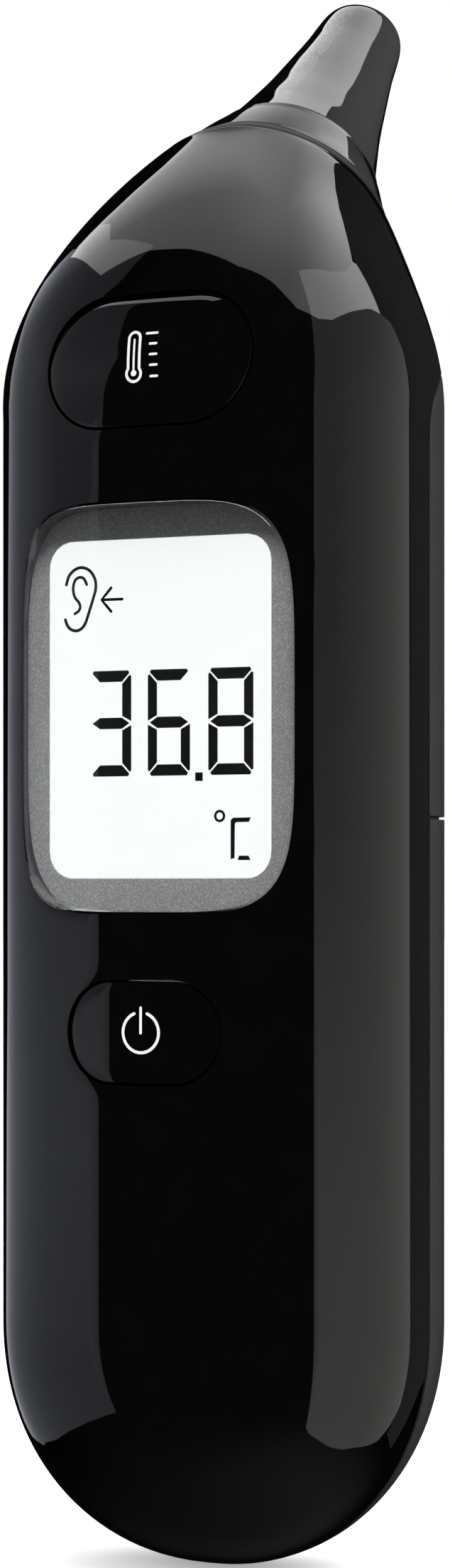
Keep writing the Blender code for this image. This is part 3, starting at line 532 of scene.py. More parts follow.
def principled(name, inputs):
    made = bpy.data.materials.new(name)
    made.use_nodes = True
    wire(made.node_tree, made.node_tree.nodes["Principled BSDF"], inputs)
    return made, made.node_tree


def add_noise(tree, scale, detail=2.0, stretch=None):
    """A noise over the object, its scale a count per millimetre."""
    where = add_node(tree, "TexCoord", {}).outputs["Object"]
    if stretch:
        spread = add_node(tree, "Mapping", {"Scale": stretch, "Vector": where})
        where = spread.outputs["Vector"]
    inputs = {"Scale": scale / MM, "Detail": detail, "Vector": where}
    return add_node(tree, "TexNoise", inputs).outputs["Fac"]


def add_ramp(tree, factor, colours, positions=(0, 1)):
    node = add_node(tree, "ValToRGB", {"Fac": factor})
    for stop, colour, position in zip(node.color_ramp.elements, colours, positions):
        stop.position = position
        stop.color = (*colour, 1)
    return node.outputs["Color"]


def add_range(tree, value, inputs, **settings):
    return add_node(tree, "MapRange", {"Value": value, **inputs}, **settings).outputs["Result"]


def material(
    name, colours, roughness, scale, bump=0, metallic=0, coat=0, detail=4, stretch=None, ior=1.5
):
    """A procedural Principled material. colours and roughness each give the low and high end
    that a noise moves between, scale is the noise's count per millimetre, and bump its height
    in millimetres."""
    made, tree = principled(
        name, {"Metallic": metallic, "IOR": ior, "Coat Weight": coat, "Coat Roughness": 0.03}
    )
    noise = add_noise(tree, scale, detail, stretch)
    inputs = {
        "Base Color": add_ramp(tree, noise, colours, (0.35, 0.65)),
        "Roughness": add_range(tree, noise, {"To Min": roughness[0], "To Max": roughness[1]}),
    }
    if bump:
        relief = add_node(tree, "Bump", {"Distance": bump * MM, "Strength": 1.0, "Height": noise})
        inputs["Normal"] = relief.outputs["Normal"]
    wire(tree, tree.nodes["Principled BSDF"], inputs)
    return made


def greys(low, high, tint=(1.0, 1.0, 1.0)):
    return tuple(low * t for t in tint), tuple(high * t for t in tint)


FLAKE_SCALE = 9.0
FLAKE_TINT = (1.03, 0.98, 1.0)


def flake_material():
    """Grey paint with fine, lighter flakes in it."""
    made = material(
        "frame_flake", greys(0.2, 0.33, FLAKE_TINT), (0.36, 0.5), FLAKE_SCALE, 0.006, 0.35, detail=2
    )
    tree = made.node_tree
    where = tree.nodes["Texture Coordinate"].outputs["Object"]
    flakes = add_node(tree, "TexVoronoi", {"Scale": FLAKE_SCALE / MM, "Vector": where})
    share = add_range(tree, flakes.outputs["Color"], {"From Min": 0.55, "From Max": 1.0})
    colours = {"A": tree.nodes["Color Ramp"].outputs["Color"], "B": (0.5, 0.48, 0.5, 1)}
    lit = add_node(tree, "Mix", {"Factor": share, **colours}, data_type="RGBA")
    wire(tree, tree.nodes["Principled BSDF"], {"Base Color": lit.outputs["Result"]})
    return made


def backlit_material(name, colour, unevenness):
    """A backlit sheet: white light with the faint unevenness of a light guide."""
    made, tree = principled(
        name, {"Roughness": 0.35, "Base Color": (0.1, 0.1, 0.1, 1), "Emission Strength": 1.0}
    )
    colours = (tuple(c * (1 - unevenness) for c in colour), colour)
    glow = add_ramp(tree, add_noise(tree, 0.09), colours)
    wire(tree, tree.nodes["Principled BSDF"], {"Emission Color": glow})
    return made


def clear_material(name):
    """Clear plastic that passes light straight on and mirrors it like any gloss plastic."""
    made, tree = principled(
        name,
        {
            "Base Color": (0.985, 0.995, 0.995, 1), "Roughness": 0.0, "IOR": 1.02,
            "Transmission Weight": 1.0, "Coat Weight": 1.0, "Coat IOR": 1.5,
        },
    )
    gloss = add_range(tree, add_noise(tree, 0.12), {"To Min": 0.01, "To Max": 0.035})
    wire(tree, tree.nodes["Principled BSDF"], {"Coat Roughness": gloss})
    return made


# The looks of the rebuilt pieces, each a slot and a material.
GLOSS = (
    "gloss_black", material("gloss_black", greys(0.0003, 0.0006), (0.015, 0.03), 0.35, 0.00005)
)
PROBE = (
    "gloss_black", material("probe_black", greys(0.0006, 0.0012), (0.02, 0.04), 0.5, 0.0001)
)
SATIN = (
    "satin_black",
    material("satin_black", greys(0.017, 0.023), (0.36, 0.44), 5.0, 0.004, detail=6),
)
SEAL = ("seal_black", material("seal_rubber", greys(0.004, 0.008), (0.5, 0.65), 3.0, 0.003))
WHITE_INK = ("white_plastic", material("white_ink", greys(0.56, 0.68), (0.4, 0.5), 6.0, 0.002))
LCD_INK = ("lcd_white", material("lcd_ink", greys(0.003, 0.007), (0.5, 0.6), 4.0, ior=1.06))
FLAKE = ("frame_flake", flake_material())
BACKLIT = ("lcd_white", backlit_material("lcd_white", (0.945, 0.972, 0.968), 0.02))
CLEAR = ("lens_clear", clear_material("lens_clear"))


# ---------------------------------------------------------------- front shell
# How far behind the parting line each shell's edge lies. The joint between them is open.
FRONT = -GAP / 2 - 0.13
REAR = GAP / 2 + 0.07
WALL = 1.8
COLUMNS = 34
SIDE_COLUMNS = 30
END_ROWS = 32
STRAIGHT_ROWS = 90
LOW_SHOULDER_ROWS = 3
SHOULDER_ROWS = 46
EDGE_ROWS = 4
RING_ROWS = 3


def spread(low, high, count):
    return [mix(low, high, i / count) for i in range(count)]


def end_start(depth, exponent):
    """The station in the rounded end where the skin is half a gap away from the parting line."""

    def clear(v):
        q = math.cos(math.pi / 2 * v) ** (2 / END_EXPONENT)
        return depth * max(0.0, 1 - q**exponent) ** (1 / exponent) >= GAP / 2

    return halve(clear, 0.0, 0.5)


front_g, front_v = seam_corner(FRONT)
FRONT_ROWS = (
    spread(end_start(FRONT_DEPTH, END_EXPONENT), 1, END_ROWS)
    + spread(1, 2, STRAIGHT_ROWS)
    + spread(2, front_v, LOW_SHOULDER_ROWS)
    + spread(front_v, 3, SHOULDER_ROWS)
    + spread(3, 4, EDGE_ROWS)
    + spread(4, 5, RING_ROWS)
    + [5]
)
CORNER_ROW = END_ROWS + STRAIGHT_ROWS + LOW_SHOULDER_ROWS
FRONT_REACH = [seam_girth(v, FRONT) if v <= front_v else front_g for v in FRONT_ROWS]
ROW_INDEX = list(range(len(FRONT_ROWS)))


def place_front(k, r):
    v = float(np.interp(r, ROW_INDEX, FRONT_ROWS))
    return skin(k / COLUMNS * float(np.interp(r, ROW_INDEX, FRONT_REACH)), v)


def place_side(side):
    """The part of the front shell that runs back round the neck, on one side."""

    def place(k, r):
        g = mix(front_g, 2.0, k / SIDE_COLUMNS)
        v = FRONT_ROWS[CORNER_ROW + r]
        if v < 3:
            start = seam_station(g, FRONT) if k else front_v
            v = mix(start, 3.0, (v - front_v) / (3 - front_v))
        return skin(side * g, v)

    return place


# Outlines on the front: half width, half height, middle height, gap at the edge.
MEASURE = (10.9, 6.4, 117.2)
POWER = (8.15, 4.83, 53.0)
LENS = (14.6, 19.5, 84.0)
LENS_EXPONENT = 5.0
EDGE_GAP = 0.22
ROLL_RINGS = (0.0, 0.16, 0.32, 0.5, 0.72, 1.0, 1.35)
ROLL = 0.06
LENS_RINGS = (0.0, 0.15, 0.4, 0.8)
LENS_ROLL = 0.02


def lens_curve(wider=0.0):
    return superellipse_curve(LENS[0] + wider, LENS[1] + wider, LENS_EXPONENT, LENS[2])


def walled(name, points, faces, body, look, replaces, middle, wall, edge, segments=2):
    """A skin turned away from its middle and thickened inwards."""
    shell = mesh_object(name, points, faces, body, look, replaces, middle)
    solidify(shell, wall)
    bevel(shell, edge, segments)


front_patch = Patch(place_front, (-COLUMNS, COLUMNS), len(FRONT_ROWS) - 1)


def row_near(z):
    return min(ROW_INDEX, key=lambda r: abs(place_front(0, r)[2] - z))


for (width, height, z), count in ((MEASURE, 110), (POWER, 90)):
    hole = stadium_curve(width + EDGE_GAP, height + EDGE_GAP, z)
    front_patch.cut(hole, count, ROLL_RINGS, ROLL, (0.0, row_near(z)))
front_patch.cut(lens_curve(EDGE_GAP), 200, LENS_RINGS, LENS_ROLL, (0.0, row_near(LENS[2])))
front_patch.fill()
points, faces = list(front_patch.points), list(front_patch.faces)
for side in (1, -1):
    patch = Patch(place_side(side), (0, SIDE_COLUMNS), len(FRONT_ROWS) - 1 - CORNER_ROW)
    patch.fill()
    faces += [tuple(i + len(points) for i in face) for face in patch.faces]
    points += patch.points
CORE = to_world((0.0, 0.0, 100.0))
walled(
    "front_shell_skin", points, faces, MAIN, GLOSS, ["front_shell"], CORE, WALL, 0.15, segments=3
)


# ---------------------------------------------------------------- rear shell and cover
rear_g, rear_v = seam_corner(REAR)
REAR_COLUMNS = 30
REAR_SHELL_ROWS = 46


def straight_station(z):
    return 1 + (z - END_HEIGHT) / (SHOULDER_Z - END_HEIGHT)


SPLIT_V = straight_station(COVER_SPLIT_Z + GAP / 2)
SHARES = np.linspace(0, 1, 121)
TOP_V = [seam_station(mix(2.0, rear_g, a), REAR) for a in SHARES]
TOP_V[-1] = rear_v
SIDE_G = [seam_girth(mix(SPLIT_V, rear_v, b), REAR) for b in SHARES]


def place_rear(k, r):
    """A point of the rear shell, blended in from its four edges."""
    a, b = abs(k) / REAR_COLUMNS, r / REAR_SHELL_ROWS
    bottom = (mix(2.0, SIDE_G[0], a), SPLIT_V)
    top = (mix(2.0, rear_g, a), float(np.interp(a, SHARES, TOP_V)))
    middle = (2.0, mix(SPLIT_V, TOP_V[0], b))
    side = (float(np.interp(b, SHARES, SIDE_G)), mix(SPLIT_V, rear_v, b))
    corners = ((2.0, SPLIT_V), (SIDE_G[0], SPLIT_V), (2.0, TOP_V[0]), (rear_g, rear_v))
    shares = ((1 - a) * (1 - b), a * (1 - b), (1 - a) * b, a * b)
    g, v = (
        (1 - b) * bottom[i]
        + b * top[i]
        + (1 - a) * middle[i]
        + a * side[i]
        - sum(share * corner[i] for share, corner in zip(shares, corners))
        for i in range(2)
    )
    return skin(math.copysign(g, k), v)


SCREW_X = 16.3
CASE_SCREW_Z = 105.5
RECESS_RADIUS = 2.0
PASSAGE_RADIUS = 1.2
HEAD_SEAT = 7.2


def circle_curve(radius, x, z):
    def curve(t):
        return x + radius * math.cos(2 * math.pi * t), z + radius * math.sin(2 * math.pi * t)

    return curve


def screw_start(x):
    """A place on the rear shell to look for the screw from, as (column, row)."""
    return math.copysign(REAR_COLUMNS * 0.55, x), REAR_SHELL_ROWS * 0.75


rear_patch = Patch(place_rear, (-REAR_COLUMNS, REAR_COLUMNS), REAR_SHELL_ROWS)
for x in (SCREW_X, -SCREW_X):
    hole = circle_curve(RECESS_RADIUS, x, CASE_SCREW_Z)
    rear_patch.cut(hole, 40, (0.0, 0.2, 0.45), 0.0, screw_start(x))
rear_patch.fill()
points, faces = rear_patch.points, rear_patch.faces
walled("rear_shell_skin", points, faces, MAIN, SATIN, ["rear_shell"], CORE, WALL, 0.07)


def screw_seat(name, x):
    """The well in the rear shell that a case screw's head sits in."""
    count = 40
    points = []
    start = screw_start(x)
    # Radius, then either how far below the skin or at what Y each ring lies.
    levels = (
        (RECESS_RADIUS + 0.7, 0.9, None),
        (RECESS_RADIUS, 0.6, None),
        (RECESS_RADIUS, 0, HEAD_SEAT),
        (PASSAGE_RADIUS, 0, HEAD_SEAT),
        (PASSAGE_RADIUS, 0, HEAD_SEAT - 1.4),
        (RECESS_RADIUS + 0.7, 0, HEAD_SEAT - 1.4),
    )
    for radius, drop, y in levels:
        for i in range(count):
            px, pz = circle_curve(radius, x, CASE_SCREW_Z)(i / count)
            if y is None:
                start = rear_patch.settle(px, pz, start)
                points.append(to_world((px, place_rear(*start)[1] - drop, pz)))
            else:
                points.append(to_world((px, y, pz)))
    rings = [range(r * count, (r + 1) * count) for r in range(len(levels))]
    seat = mesh_object(name, points, ring_quads(rings, closed=True), MAIN, SATIN)
    bevel(seat, 0.08, angle=40)


for label, x in (("left", -SCREW_X), ("right", SCREW_X)):
    screw_seat(f"case_screw_seat_{label}", x)

GRIP_HALF_WIDTH = 7.0
GRIP_HEIGHTS = (58.0, 61.0, 64.0, 67.0)
GRIP_RADIUS = 0.6
GRIP_OFFSET = 0.25
GRIP_FADE = 0.8
GRIP_V = (straight_station(57.2), straight_station(67.8))
COVER_TOP_V = straight_station(COVER_SPLIT_Z - GAP / 2)
COVER_ROWS = (
    spread(end_start(REAR_DEPTH, END_REAR_EXPONENT), 1, END_ROWS)
    + spread(1, GRIP_V[0], 33)
    + spread(*GRIP_V, 72)
    + spread(GRIP_V[1], COVER_TOP_V, 6)
    + [COVER_TOP_V]
)
COVER_INDEX = range(len(COVER_ROWS))
COVER_REACH = [2 - seam_girth(v, REAR) for v in COVER_ROWS]


def smoothstep(t):
    t = min(1.0, max(0.0, t))
    return t * t * (3 - 2 * t)


def place_cover(k, r):
    v = float(np.interp(r, COVER_INDEX, COVER_ROWS))
    reach = float(np.interp(r, COVER_INDEX, COVER_REACH))
    x, y, z = skin(math.copysign(2 - abs(k) / REAR_COLUMNS * reach, k), v)
    for height in GRIP_HEIGHTS:
        away = abs(z - height)
        if away < GRIP_RADIUS and y > REAR_FLAT - 1:
            depth = math.sqrt(GRIP_RADIUS**2 - away**2) - GRIP_OFFSET
            inner = (GRIP_HALF_WIDTH + GRIP_FADE / 2 - abs(x)) / GRIP_FADE
            y -= max(0.0, depth) * smoothstep(inner)
    return x, y, z


cover_patch = Patch(place_cover, (-REAR_COLUMNS, REAR_COLUMNS), len(COVER_ROWS) - 1)
cover_patch.fill()
points, faces = cover_patch.points, cover_patch.faces
core = to_world((0.0, 0.0, 45.0))
walled("battery_cover_skin", points, faces, COVER_BODY, SATIN, ["battery_cover"], core, WALL, 0.07)

# A thin lip of the body inside the joint above the cover, so that the joint isn't see-through.
LIP_INSET = 0.5
LIP_WALL = 1.2
LIP_HALF_HEIGHT = 0.12


def place_lip(k, r):
    z = COVER_SPLIT_Z + LIP_HALF_HEIGHT * (r - 1)
    v = straight_station(z)
    reach = 2 - seam_girth(v, REAR)
    x, y, _ = skin(math.copysign(2 - abs(k) / REAR_COLUMNS * reach, k), v)
    return x * (1 - LIP_INSET / HALF_WIDTH), y * (1 - LIP_INSET / REAR_DEPTH), z


lip_patch = Patch(place_lip, (-REAR_COLUMNS, REAR_COLUMNS), 2)
lip_patch.fill()
points, faces = lip_patch.points, lip_patch.faces
walled("cover_split_lip", points, faces, MAIN, SATIN, (), CORE, LIP_WALL, 0.03, segments=1)


# ---------------------------------------------------------------- buttons and lens
FLANGE_FRONT = -12.3
FLANGE_BACK = -11.3
FLANGE_REACH = 0.9
BUTTON_BASE = ((0.0, FLANGE_FRONT), (FLANGE_REACH, FLANGE_FRONT), (FLANGE_REACH, FLANGE_BACK))
LENS_BACK = -14.3
ROLL_REACH = 1.1
RIM_INSETS = (0.0, 0.12, 0.3, 0.55, 0.85, 1.3)


def front_surface(lift, z):
    """The point (x, y, z) of the front skin for an x and z, with lift(x, z) added to its y."""
    start = (0.0, row_near(z))

    def surface(x, z):
        nonlocal start
        start = front_patch.settle(x, z, start)
        x, y, z = place_front(*start)
        return x, y + lift(x, z), z

    return surface


def domed_piece(name, curve, count, z, spacing, lift, roll, base, body, look, replaces):
    """A cap whose face follows the skin inside an outline. lift(x, z) is added to its Y, roll
    of the outline's upward share is how far its rim falls back, and base lists (outward
    offset, Y) for the loops behind the face, in order."""
    loop, normals = even_loop(curve, count)
    surface = front_surface(lift, z)
    points, rings = [], []

    def add(point, drop=0.0):
        x, y, z = point
        points.append(to_world((x, y + drop, z)))
        return len(points) - 1

    for inset in RIM_INSETS:
        ring = loop - normals * inset
        share = max(0.0, 1 - inset / ROLL_REACH) ** 2
        rings.append([add(surface(*p), share * roll(n[1])) for p, n in zip(ring, normals)])
    rim = loop - normals * RIM_INSETS[-1]
    xs, zs = (np.arange(rim.min(0)[i], rim.max(0)[i], spacing) for i in range(2))
    grid = np.array([(x, pz) for pz in zs for x in xs])
    grid = grid[inside(rim, grid)]
    grid = grid[distance_to(rim, grid) > spacing * HOLE_CLEARANCE]
    own = rings[-1] + [add(surface(*p)) for p in grid]
    made, triangles, source = triangulate([*rim, *grid], loop_edges(0, count))
    index = [own[o[0]] if o else add(surface(*at)) for at, o in zip(made, source)]
    faces = [tuple(index[i] for i in face) for face in triangles]
    for offset, y in base:
        rings.insert(0, [add((x, y, z)) for x, z in loop + normals * offset])
    faces += ring_quads(rings)
    faces.append(tuple(rings[0]))
    return mesh_object(name, points, faces, body, look, replaces)


LEAN_Z = (MEASURE[2] - 5.0, MEASURE[2] + MEASURE[1])
MEASURE_LEAN, MEASURE_CROWN = 0.42, 0.1
POWER_CROWN = (0.3, 0.06)


def measure_lift(x, z):
    """The measuring button leans back towards its top edge and is crowned across."""
    up = max(0.0, (z - LEAN_Z[0]) / (LEAN_Z[1] - LEAN_Z[0]))
    return MEASURE_LEAN * up**2 + MEASURE_CROWN * (x / MEASURE[0]) ** 2


def measure_roll(up):
    return 0.07 + 0.13 * max(0.0, up)


def power_lift(x, z):
    across, up = x / POWER[0], (z - POWER[2]) / POWER[1]
    return POWER_CROWN[0] * across**2 + POWER_CROWN[1] * up**2


def button_cap(label, outline, count, lift, roll, body):
    """A button's cap with its flange."""
    cap = domed_piece(
        f"{label}_button_cap", stadium_curve(*outline), count, outline[2], 0.8, lift, roll,
        BUTTON_BASE, body, GLOSS, [f"{label}_button"],
    )
    bevel(cap, 0.12, 3)
    return cap


measure_button = button_cap("measure", MEASURE, 120, measure_lift, measure_roll, MEASURE_BODY)
button_cap("power", POWER, 96, power_lift, lambda up: 0.08, POWER_BODY)
lens = domed_piece(
    "display_lens_dome", lens_curve(), 220, LENS[2], 1.0, lambda x, z: 0.0, lambda up: 0.0,
    ((0.0, LENS_BACK),), MAIN, CLEAR, ["display_lens"],
)
bevel(lens, 0.16, 3)
lens.visible_shadow = False


# ---------------------------------------------------------------- flat plates and printing
def plate(outer, holes, thickness, surface):
    """A thin solid on a surface(x, z), its outline and holes given as loops of (x, z)."""
    flat, edges = [], []
    for loop in (outer, *holes):
        edges += loop_edges(len(flat), len(loop))
        flat += [Vector(p) for p in loop]
    made, triangles, source = triangulate(flat, edges, 0, 1e-7)
    middles = face_middles(made, triangles)
    keep = inside(np.array(outer), middles)
    for hole in holes:
        keep &= ~inside(np.array(hole), middles)
    points = []
    for depth in (0.0, thickness):
        for p in flat:
            x, y, z = surface(*p)
            points.append(to_world((x, y + depth, z)))
    total = len(flat)
    at = [origin[0] for origin in source]
    faces = []
    for face, shown in zip(triangles, keep):
        if shown:
            faces.append(tuple(at[i] for i in face))
            faces.append(tuple(at[i] + total for i in reversed(face)))
    faces += [(a, b, b + total, a + total) for a, b in edges]
    return points, faces


def plate_object(name, outer, holes, y, thickness, look, replaces):
    points, faces = plate(outer, holes, thickness, lambda x, z: (x, y, z))
    return mesh_object(name, points, faces, MAIN, look, replaces, smooth=False)


WINDOW_WIDTH, WINDOW_HEIGHT, WINDOW_RADIUS, WINDOW_Z = 12.05, 16.35, 2.6, 84.05
FRAME_FRONT = -14.0
LCD_FACE = FRAME_FRONT + 0.06
FILM_GAP = 0.03


def window_loop(gap):
    width, height = WINDOW_WIDTH - gap, WINDOW_HEIGHT - gap
    return even_loop(rounded_box_curve(width, height, WINDOW_RADIUS, WINDOW_Z), 140)[0]


frame_loop = even_loop(lens_curve(), 160)[0]
display_frame = plate_object(
    "display_frame_ring", frame_loop, [window_loop(0)], FRAME_FRONT, 0.8, FLAKE, ["display_frame"]
)
bevel(display_frame, 0.05)
plate_object("lcd_film", window_loop(FILM_GAP), [], LCD_FACE, 0.7, BACKLIT, ["lcd_polarizer"])


def stroke(path, width, closed=False):
    """Loops round a stroke of this width: one outline, or an outline and a hole if closed."""
    path = [np.array(p, float) for p in path]
    count = len(path)
    left, right = [], []
    for i, p in enumerate(path):
        if closed:
            along = path[(i + 1) % count] - path[i - 1]
        else:
            along = path[min(i + 1, count - 1)] - path[max(i - 1, 0)]
        along /= np.hypot(*along)
        side = np.array([-along[1], along[0]]) * width / 2
        left.append(p + side)
        right.append(p - side)
    if closed:
        return [left, right]
    loop = []
    for edge, middle in ((left, path[-1]), (right[::-1], path[0])):
        loop += edge
        x, z = edge[-1] - middle
        for i in range(1, 6):
            c, s = math.cos(-math.pi * i / 6), math.sin(-math.pi * i / 6)
            loop.append(middle + np.array([c * x - s * z, s * x + c * z]))
    return [loop]


PRINT_THICKNESS = 0.05


def shoelace(loop):
    return sum(a[0] * b[1] - b[0] * a[1] for a, b in zip(loop, [*loop[1:], loop[0]])) / 2


def print_shapes(name, shapes, surface, lift, body, look):
    """Raised printing: each shape is [outline, hole, ...] laid on a surface(x, z)."""
    points, faces = [], []
    for shape in shapes:
        outer, *holes = sorted(shape, key=lambda loop: -abs(shoelace(loop)))
        own_points, own_faces = plate(outer, holes, PRINT_THICKNESS, surface)
        faces += [tuple(i + len(points) for i in face) for face in own_faces]
        points += [p + Vector((0, -lift * MM, 0)) for p in own_points]
    mesh_object(name, points, faces, body, look, smooth=False)


def arc(x, z, radius, start, end, steps):
    turns = [math.radians(mix(start, end, i / steps)) for i in range(steps + 1)]
    return [(x + radius * math.cos(t), z + radius * math.sin(t)) for t in turns]


def line(a, b, steps=4):
    return [(mix(a[0], b[0], i / steps), mix(a[1], b[1], i / steps)) for i in range(steps + 1)]


# The measuring button's mark: a thermometer beside its scale.
STEM_X = -0.8
STEM_HALF = 0.6
STEM_TOP = 119.25
BULB_Z = 115.75
BULB_RADIUS = 0.77
bulb_turn = math.degrees(math.acos(STEM_HALF / BULB_RADIUS))
neck_z = BULB_Z + BULB_RADIUS * math.sin(math.radians(bulb_turn))
thermometer_outline = (
    line((STEM_X + STEM_HALF, neck_z), (STEM_X + STEM_HALF, STEM_TOP), 10)[:-1]
    + arc(STEM_X, STEM_TOP, STEM_HALF, 0, 180, 14)
    + line((STEM_X - STEM_HALF, STEM_TOP), (STEM_X - STEM_HALF, neck_z), 10)[1:-1]
    + arc(STEM_X, BULB_Z, BULB_RADIUS, 180 - bulb_turn, 360 + bulb_turn, 26)[:-1]
)


def lean(path, amount):
    """A path sheared to the left as it rises."""
    return [(x - amount * (z - BULB_Z), z) for x, z in path]


STEM_LEAN = 0.085
SCALE_LEAN = 0.13
column = line((STEM_X, BULB_Z + 0.32), (STEM_X, STEM_TOP - 0.15), 8)
marks = [
    stroke(lean(thermometer_outline, STEM_LEAN), 0.27, True),
    stroke(lean(column, STEM_LEAN), 0.2),
    [arc(STEM_X, BULB_Z + 0.05, 0.3, 0, 345, 23)],
]
for i, z in enumerate((119.65, 118.6, 117.55, 116.5, 115.4)):
    tick = line((0.65 if i == 0 else 1.02, z), (1.78 if i == 0 else 1.7, z))
    marks.append(stroke(lean(tick, SCALE_LEAN), 0.24))
CAP_LIFT = 0.02
cap = front_surface(measure_lift, MEASURE[2])
print_shapes("measure_mark", marks, cap, CAP_LIFT, MEASURE_BODY, WHITE_INK)

# The power button's mark: the usual broken ring and bar.
RING_GAP = 21.0
marks = [
    stroke(arc(0.06, 53.05, 1.92, 90 + RING_GAP, 450 - RING_GAP, 48), 0.29),
    stroke(line((0.06, 53.0), (0.06, 55.4), 6), 0.27),
]
cap = front_surface(power_lift, POWER[2])
print_shapes("power_mark", marks, cap, CAP_LIFT, POWER_BODY, WHITE_INK)

# The reading: three seven-segment digits, a point, and the unit's sign.
DIGIT_LOW, DIGIT_HIGH = 77.56, 87.76
DIGIT_MIDDLE = (DIGIT_LOW + DIGIT_HIGH) / 2 + 0.02
BAR = 1.08
POST = 1.03
CUT = 0.13
SEGMENTS = {3: "abgcd", 6: "afgedc", 8: "abcdefg"}


def segment_shapes(digit, x0, x1):
    """The lit segments of one digit between two x, each as a chamfered bar."""
    inner0, inner1 = x0 + POST, x1 - POST
    zm, h = DIGIT_MIDDLE, BAR / 2

    def level(z, up):
        shoulder, inner = z - up * 0.25, z - up * BAR
        return [
            (x0 + 0.35, z), (x1 - 0.35, z), (x1 - CUT - 0.08, shoulder), (inner1, inner),
            (inner0, inner), (x0 + CUT + 0.08, shoulder),
        ]

    def upright(x, right, z, up):
        inner = x + right * (POST - 0.05)
        return [
            (x, zm + up * (CUT + 0.06)), (x, z - up * 0.55), (x + right * 0.16, z - up * 0.42),
            (inner, z - up * (BAR + CUT * 1.6)), (inner, zm + up * (h + CUT * 1.2)),
        ]

    shapes = {
        "a": level(DIGIT_HIGH, 1),
        "d": level(DIGIT_LOW, -1),
        "g": [
            (x0 + 0.2, zm), (inner0, zm + h), (inner1, zm + h), (x1 - 0.2, zm),
            (inner1, zm - h), (inner0, zm - h),
        ],
        "f": upright(x0, 1, DIGIT_HIGH, 1),
        "e": upright(x0, 1, DIGIT_LOW, -1),
        "b": upright(x1, -1, DIGIT_HIGH, 1),
        "c": upright(x1, -1, DIGIT_LOW, -1),
    }
    return [[shapes[s]] for s in SEGMENTS[digit]]


def lcd_surface(x, z):
    return x, LCD_FACE, z


LCD_LIFT = 0.03
reading = [
    *segment_shapes(3, -7.45, -3.0),
    *segment_shapes(6, -1.17, 3.38),
    *segment_shapes(8, 5.36, 10.14),
    [[(3.95, 77.0), (4.75, 77.0), (4.75, 77.82), (3.95, 77.82)]],
    stroke(arc(6.56, 73.64, 0.47, 0, 345, 23), 0.25, True),
    [
        [
            (7.74, 69.52), (8.14, 69.64), (8.18, 72.9), (8.34, 73.04), (9.66, 73.06),
            (9.88, 73.49), (8.0, 73.47), (7.74, 73.25),
        ]
    ],
    [[(8.5, 69.44), (9.84, 69.44), (9.62, 69.86), (8.62, 69.86)]],
]
print_shapes("lcd_reading", reading, lcd_surface, LCD_LIFT, MAIN, LCD_INK)

EAR_OUTER = (
    (-10.16, 96.25), (-9.88, 97.05), (-9.3, 97.62), (-8.5, 97.86), (-7.6, 97.55), (-7.0, 96.72),
    (-6.9, 95.8), (-7.15, 94.9), (-7.75, 93.2), (-8.1, 92.35), (-8.55, 91.9), (-9.1, 91.74),
    (-9.7, 91.92), (-10.08, 92.35), (-10.27, 92.85),
)
EAR_INNER = (
    (-7.9, 96.2), (-8.2, 96.75), (-8.66, 96.92), (-9.15, 96.68), (-9.38, 96.1), (-9.37, 95.45),
    (-9.15, 94.9), (-8.78, 94.5), (-8.62, 94.0), (-8.84, 93.62), (-9.22, 93.4),
)
ear = [
    stroke(smooth_path(EAR_OUTER, 4), 0.3),
    stroke(smooth_path(EAR_INNER, 4), 0.28),
    stroke(line((-6.15, 94.65), (-3.98, 94.65)), 0.27),
    stroke([(-5.2, 95.78), (-5.73, 95.21), (-6.26, 94.65), (-5.73, 94.07), (-5.2, 93.5)], 0.27),
]
print_shapes("lcd_ear_sign", ear, lcd_surface, LCD_LIFT, MAIN, LCD_INK)


# ---------------------------------------------------------------- probe
TURNED_COUNT = 128


def turned_piece(name, profile, look, replaces):
    """Rings round the probe's axis. The profile lists (half width, half depth, distance)."""
    points, rings = [], []
    for half_width, half_depth, distance in profile:
        rings.append(range(len(points), len(points) + TURNED_COUNT))
        for i in range(TURNED_COUNT):
            turn = 2 * math.pi * i / TURNED_COUNT
            y, z = neck_point(distance, half_depth * math.sin(turn))
            points.append(to_world((half_width * math.cos(turn), y, z)))
    return mesh_object(name, points, ring_quads(rings, closed=True), MAIN, look, replaces)


BORE = 2.9
TAIL_RADIUS = 7.2
NOZZLE_PROFILE = (
    (2.9, 0.62), (3.15, 0.5), (3.5, 0.53), (3.82, 0.7), (4.1, 1.02), (4.34, 1.5), (4.54, 2.3),
    (4.74, 3.8), (5.0, 6.2), (5.3, 8.2), (5.64, 10.3), (5.99, 12.4), (6.34, 14.5), (6.85, 17.2),
    (7.42, 19.7), (8.1, 22.6), (8.85, 25.4),
)
nozzle_profile = [(r, r, q) for r, q in smooth_path(NOZZLE_PROFILE, 3)]
for radius, distance in ((TAIL_RADIUS, 25.4), (TAIL_RADIUS, 39.5), (5.9, 39.5), (5.9, 24.4)):
    nozzle_profile.append((radius, radius, distance))
nozzle_profile.append((BORE, BORE, 24.4))
nozzle = turned_piece("probe_nozzle_skin", nozzle_profile, PROBE, ["probe_nozzle"])
bevel(nozzle, 0.1, angle=60)

# The collar: half width, half depth and distance of its side's two ends, and its rounded edge.
COLLAR_LOW = (12.25, 11.45, 32.45)
COLLAR_HIGH = (9.45, 9.3, 26.3)
COLLAR_EDGE = (0.45, 0.35, 0.55)
COLLAR_BULGE = 0.12
COLLAR_BORE = 7.5


def collar_side(steps):
    for i in range(steps + 1):
        width, depth, distance = (mix(a, b, i / steps) for a, b in zip(COLLAR_LOW, COLLAR_HIGH))
        bulge = COLLAR_BULGE * math.sin(math.pi * i / steps)
        yield width + bulge, depth + bulge, distance


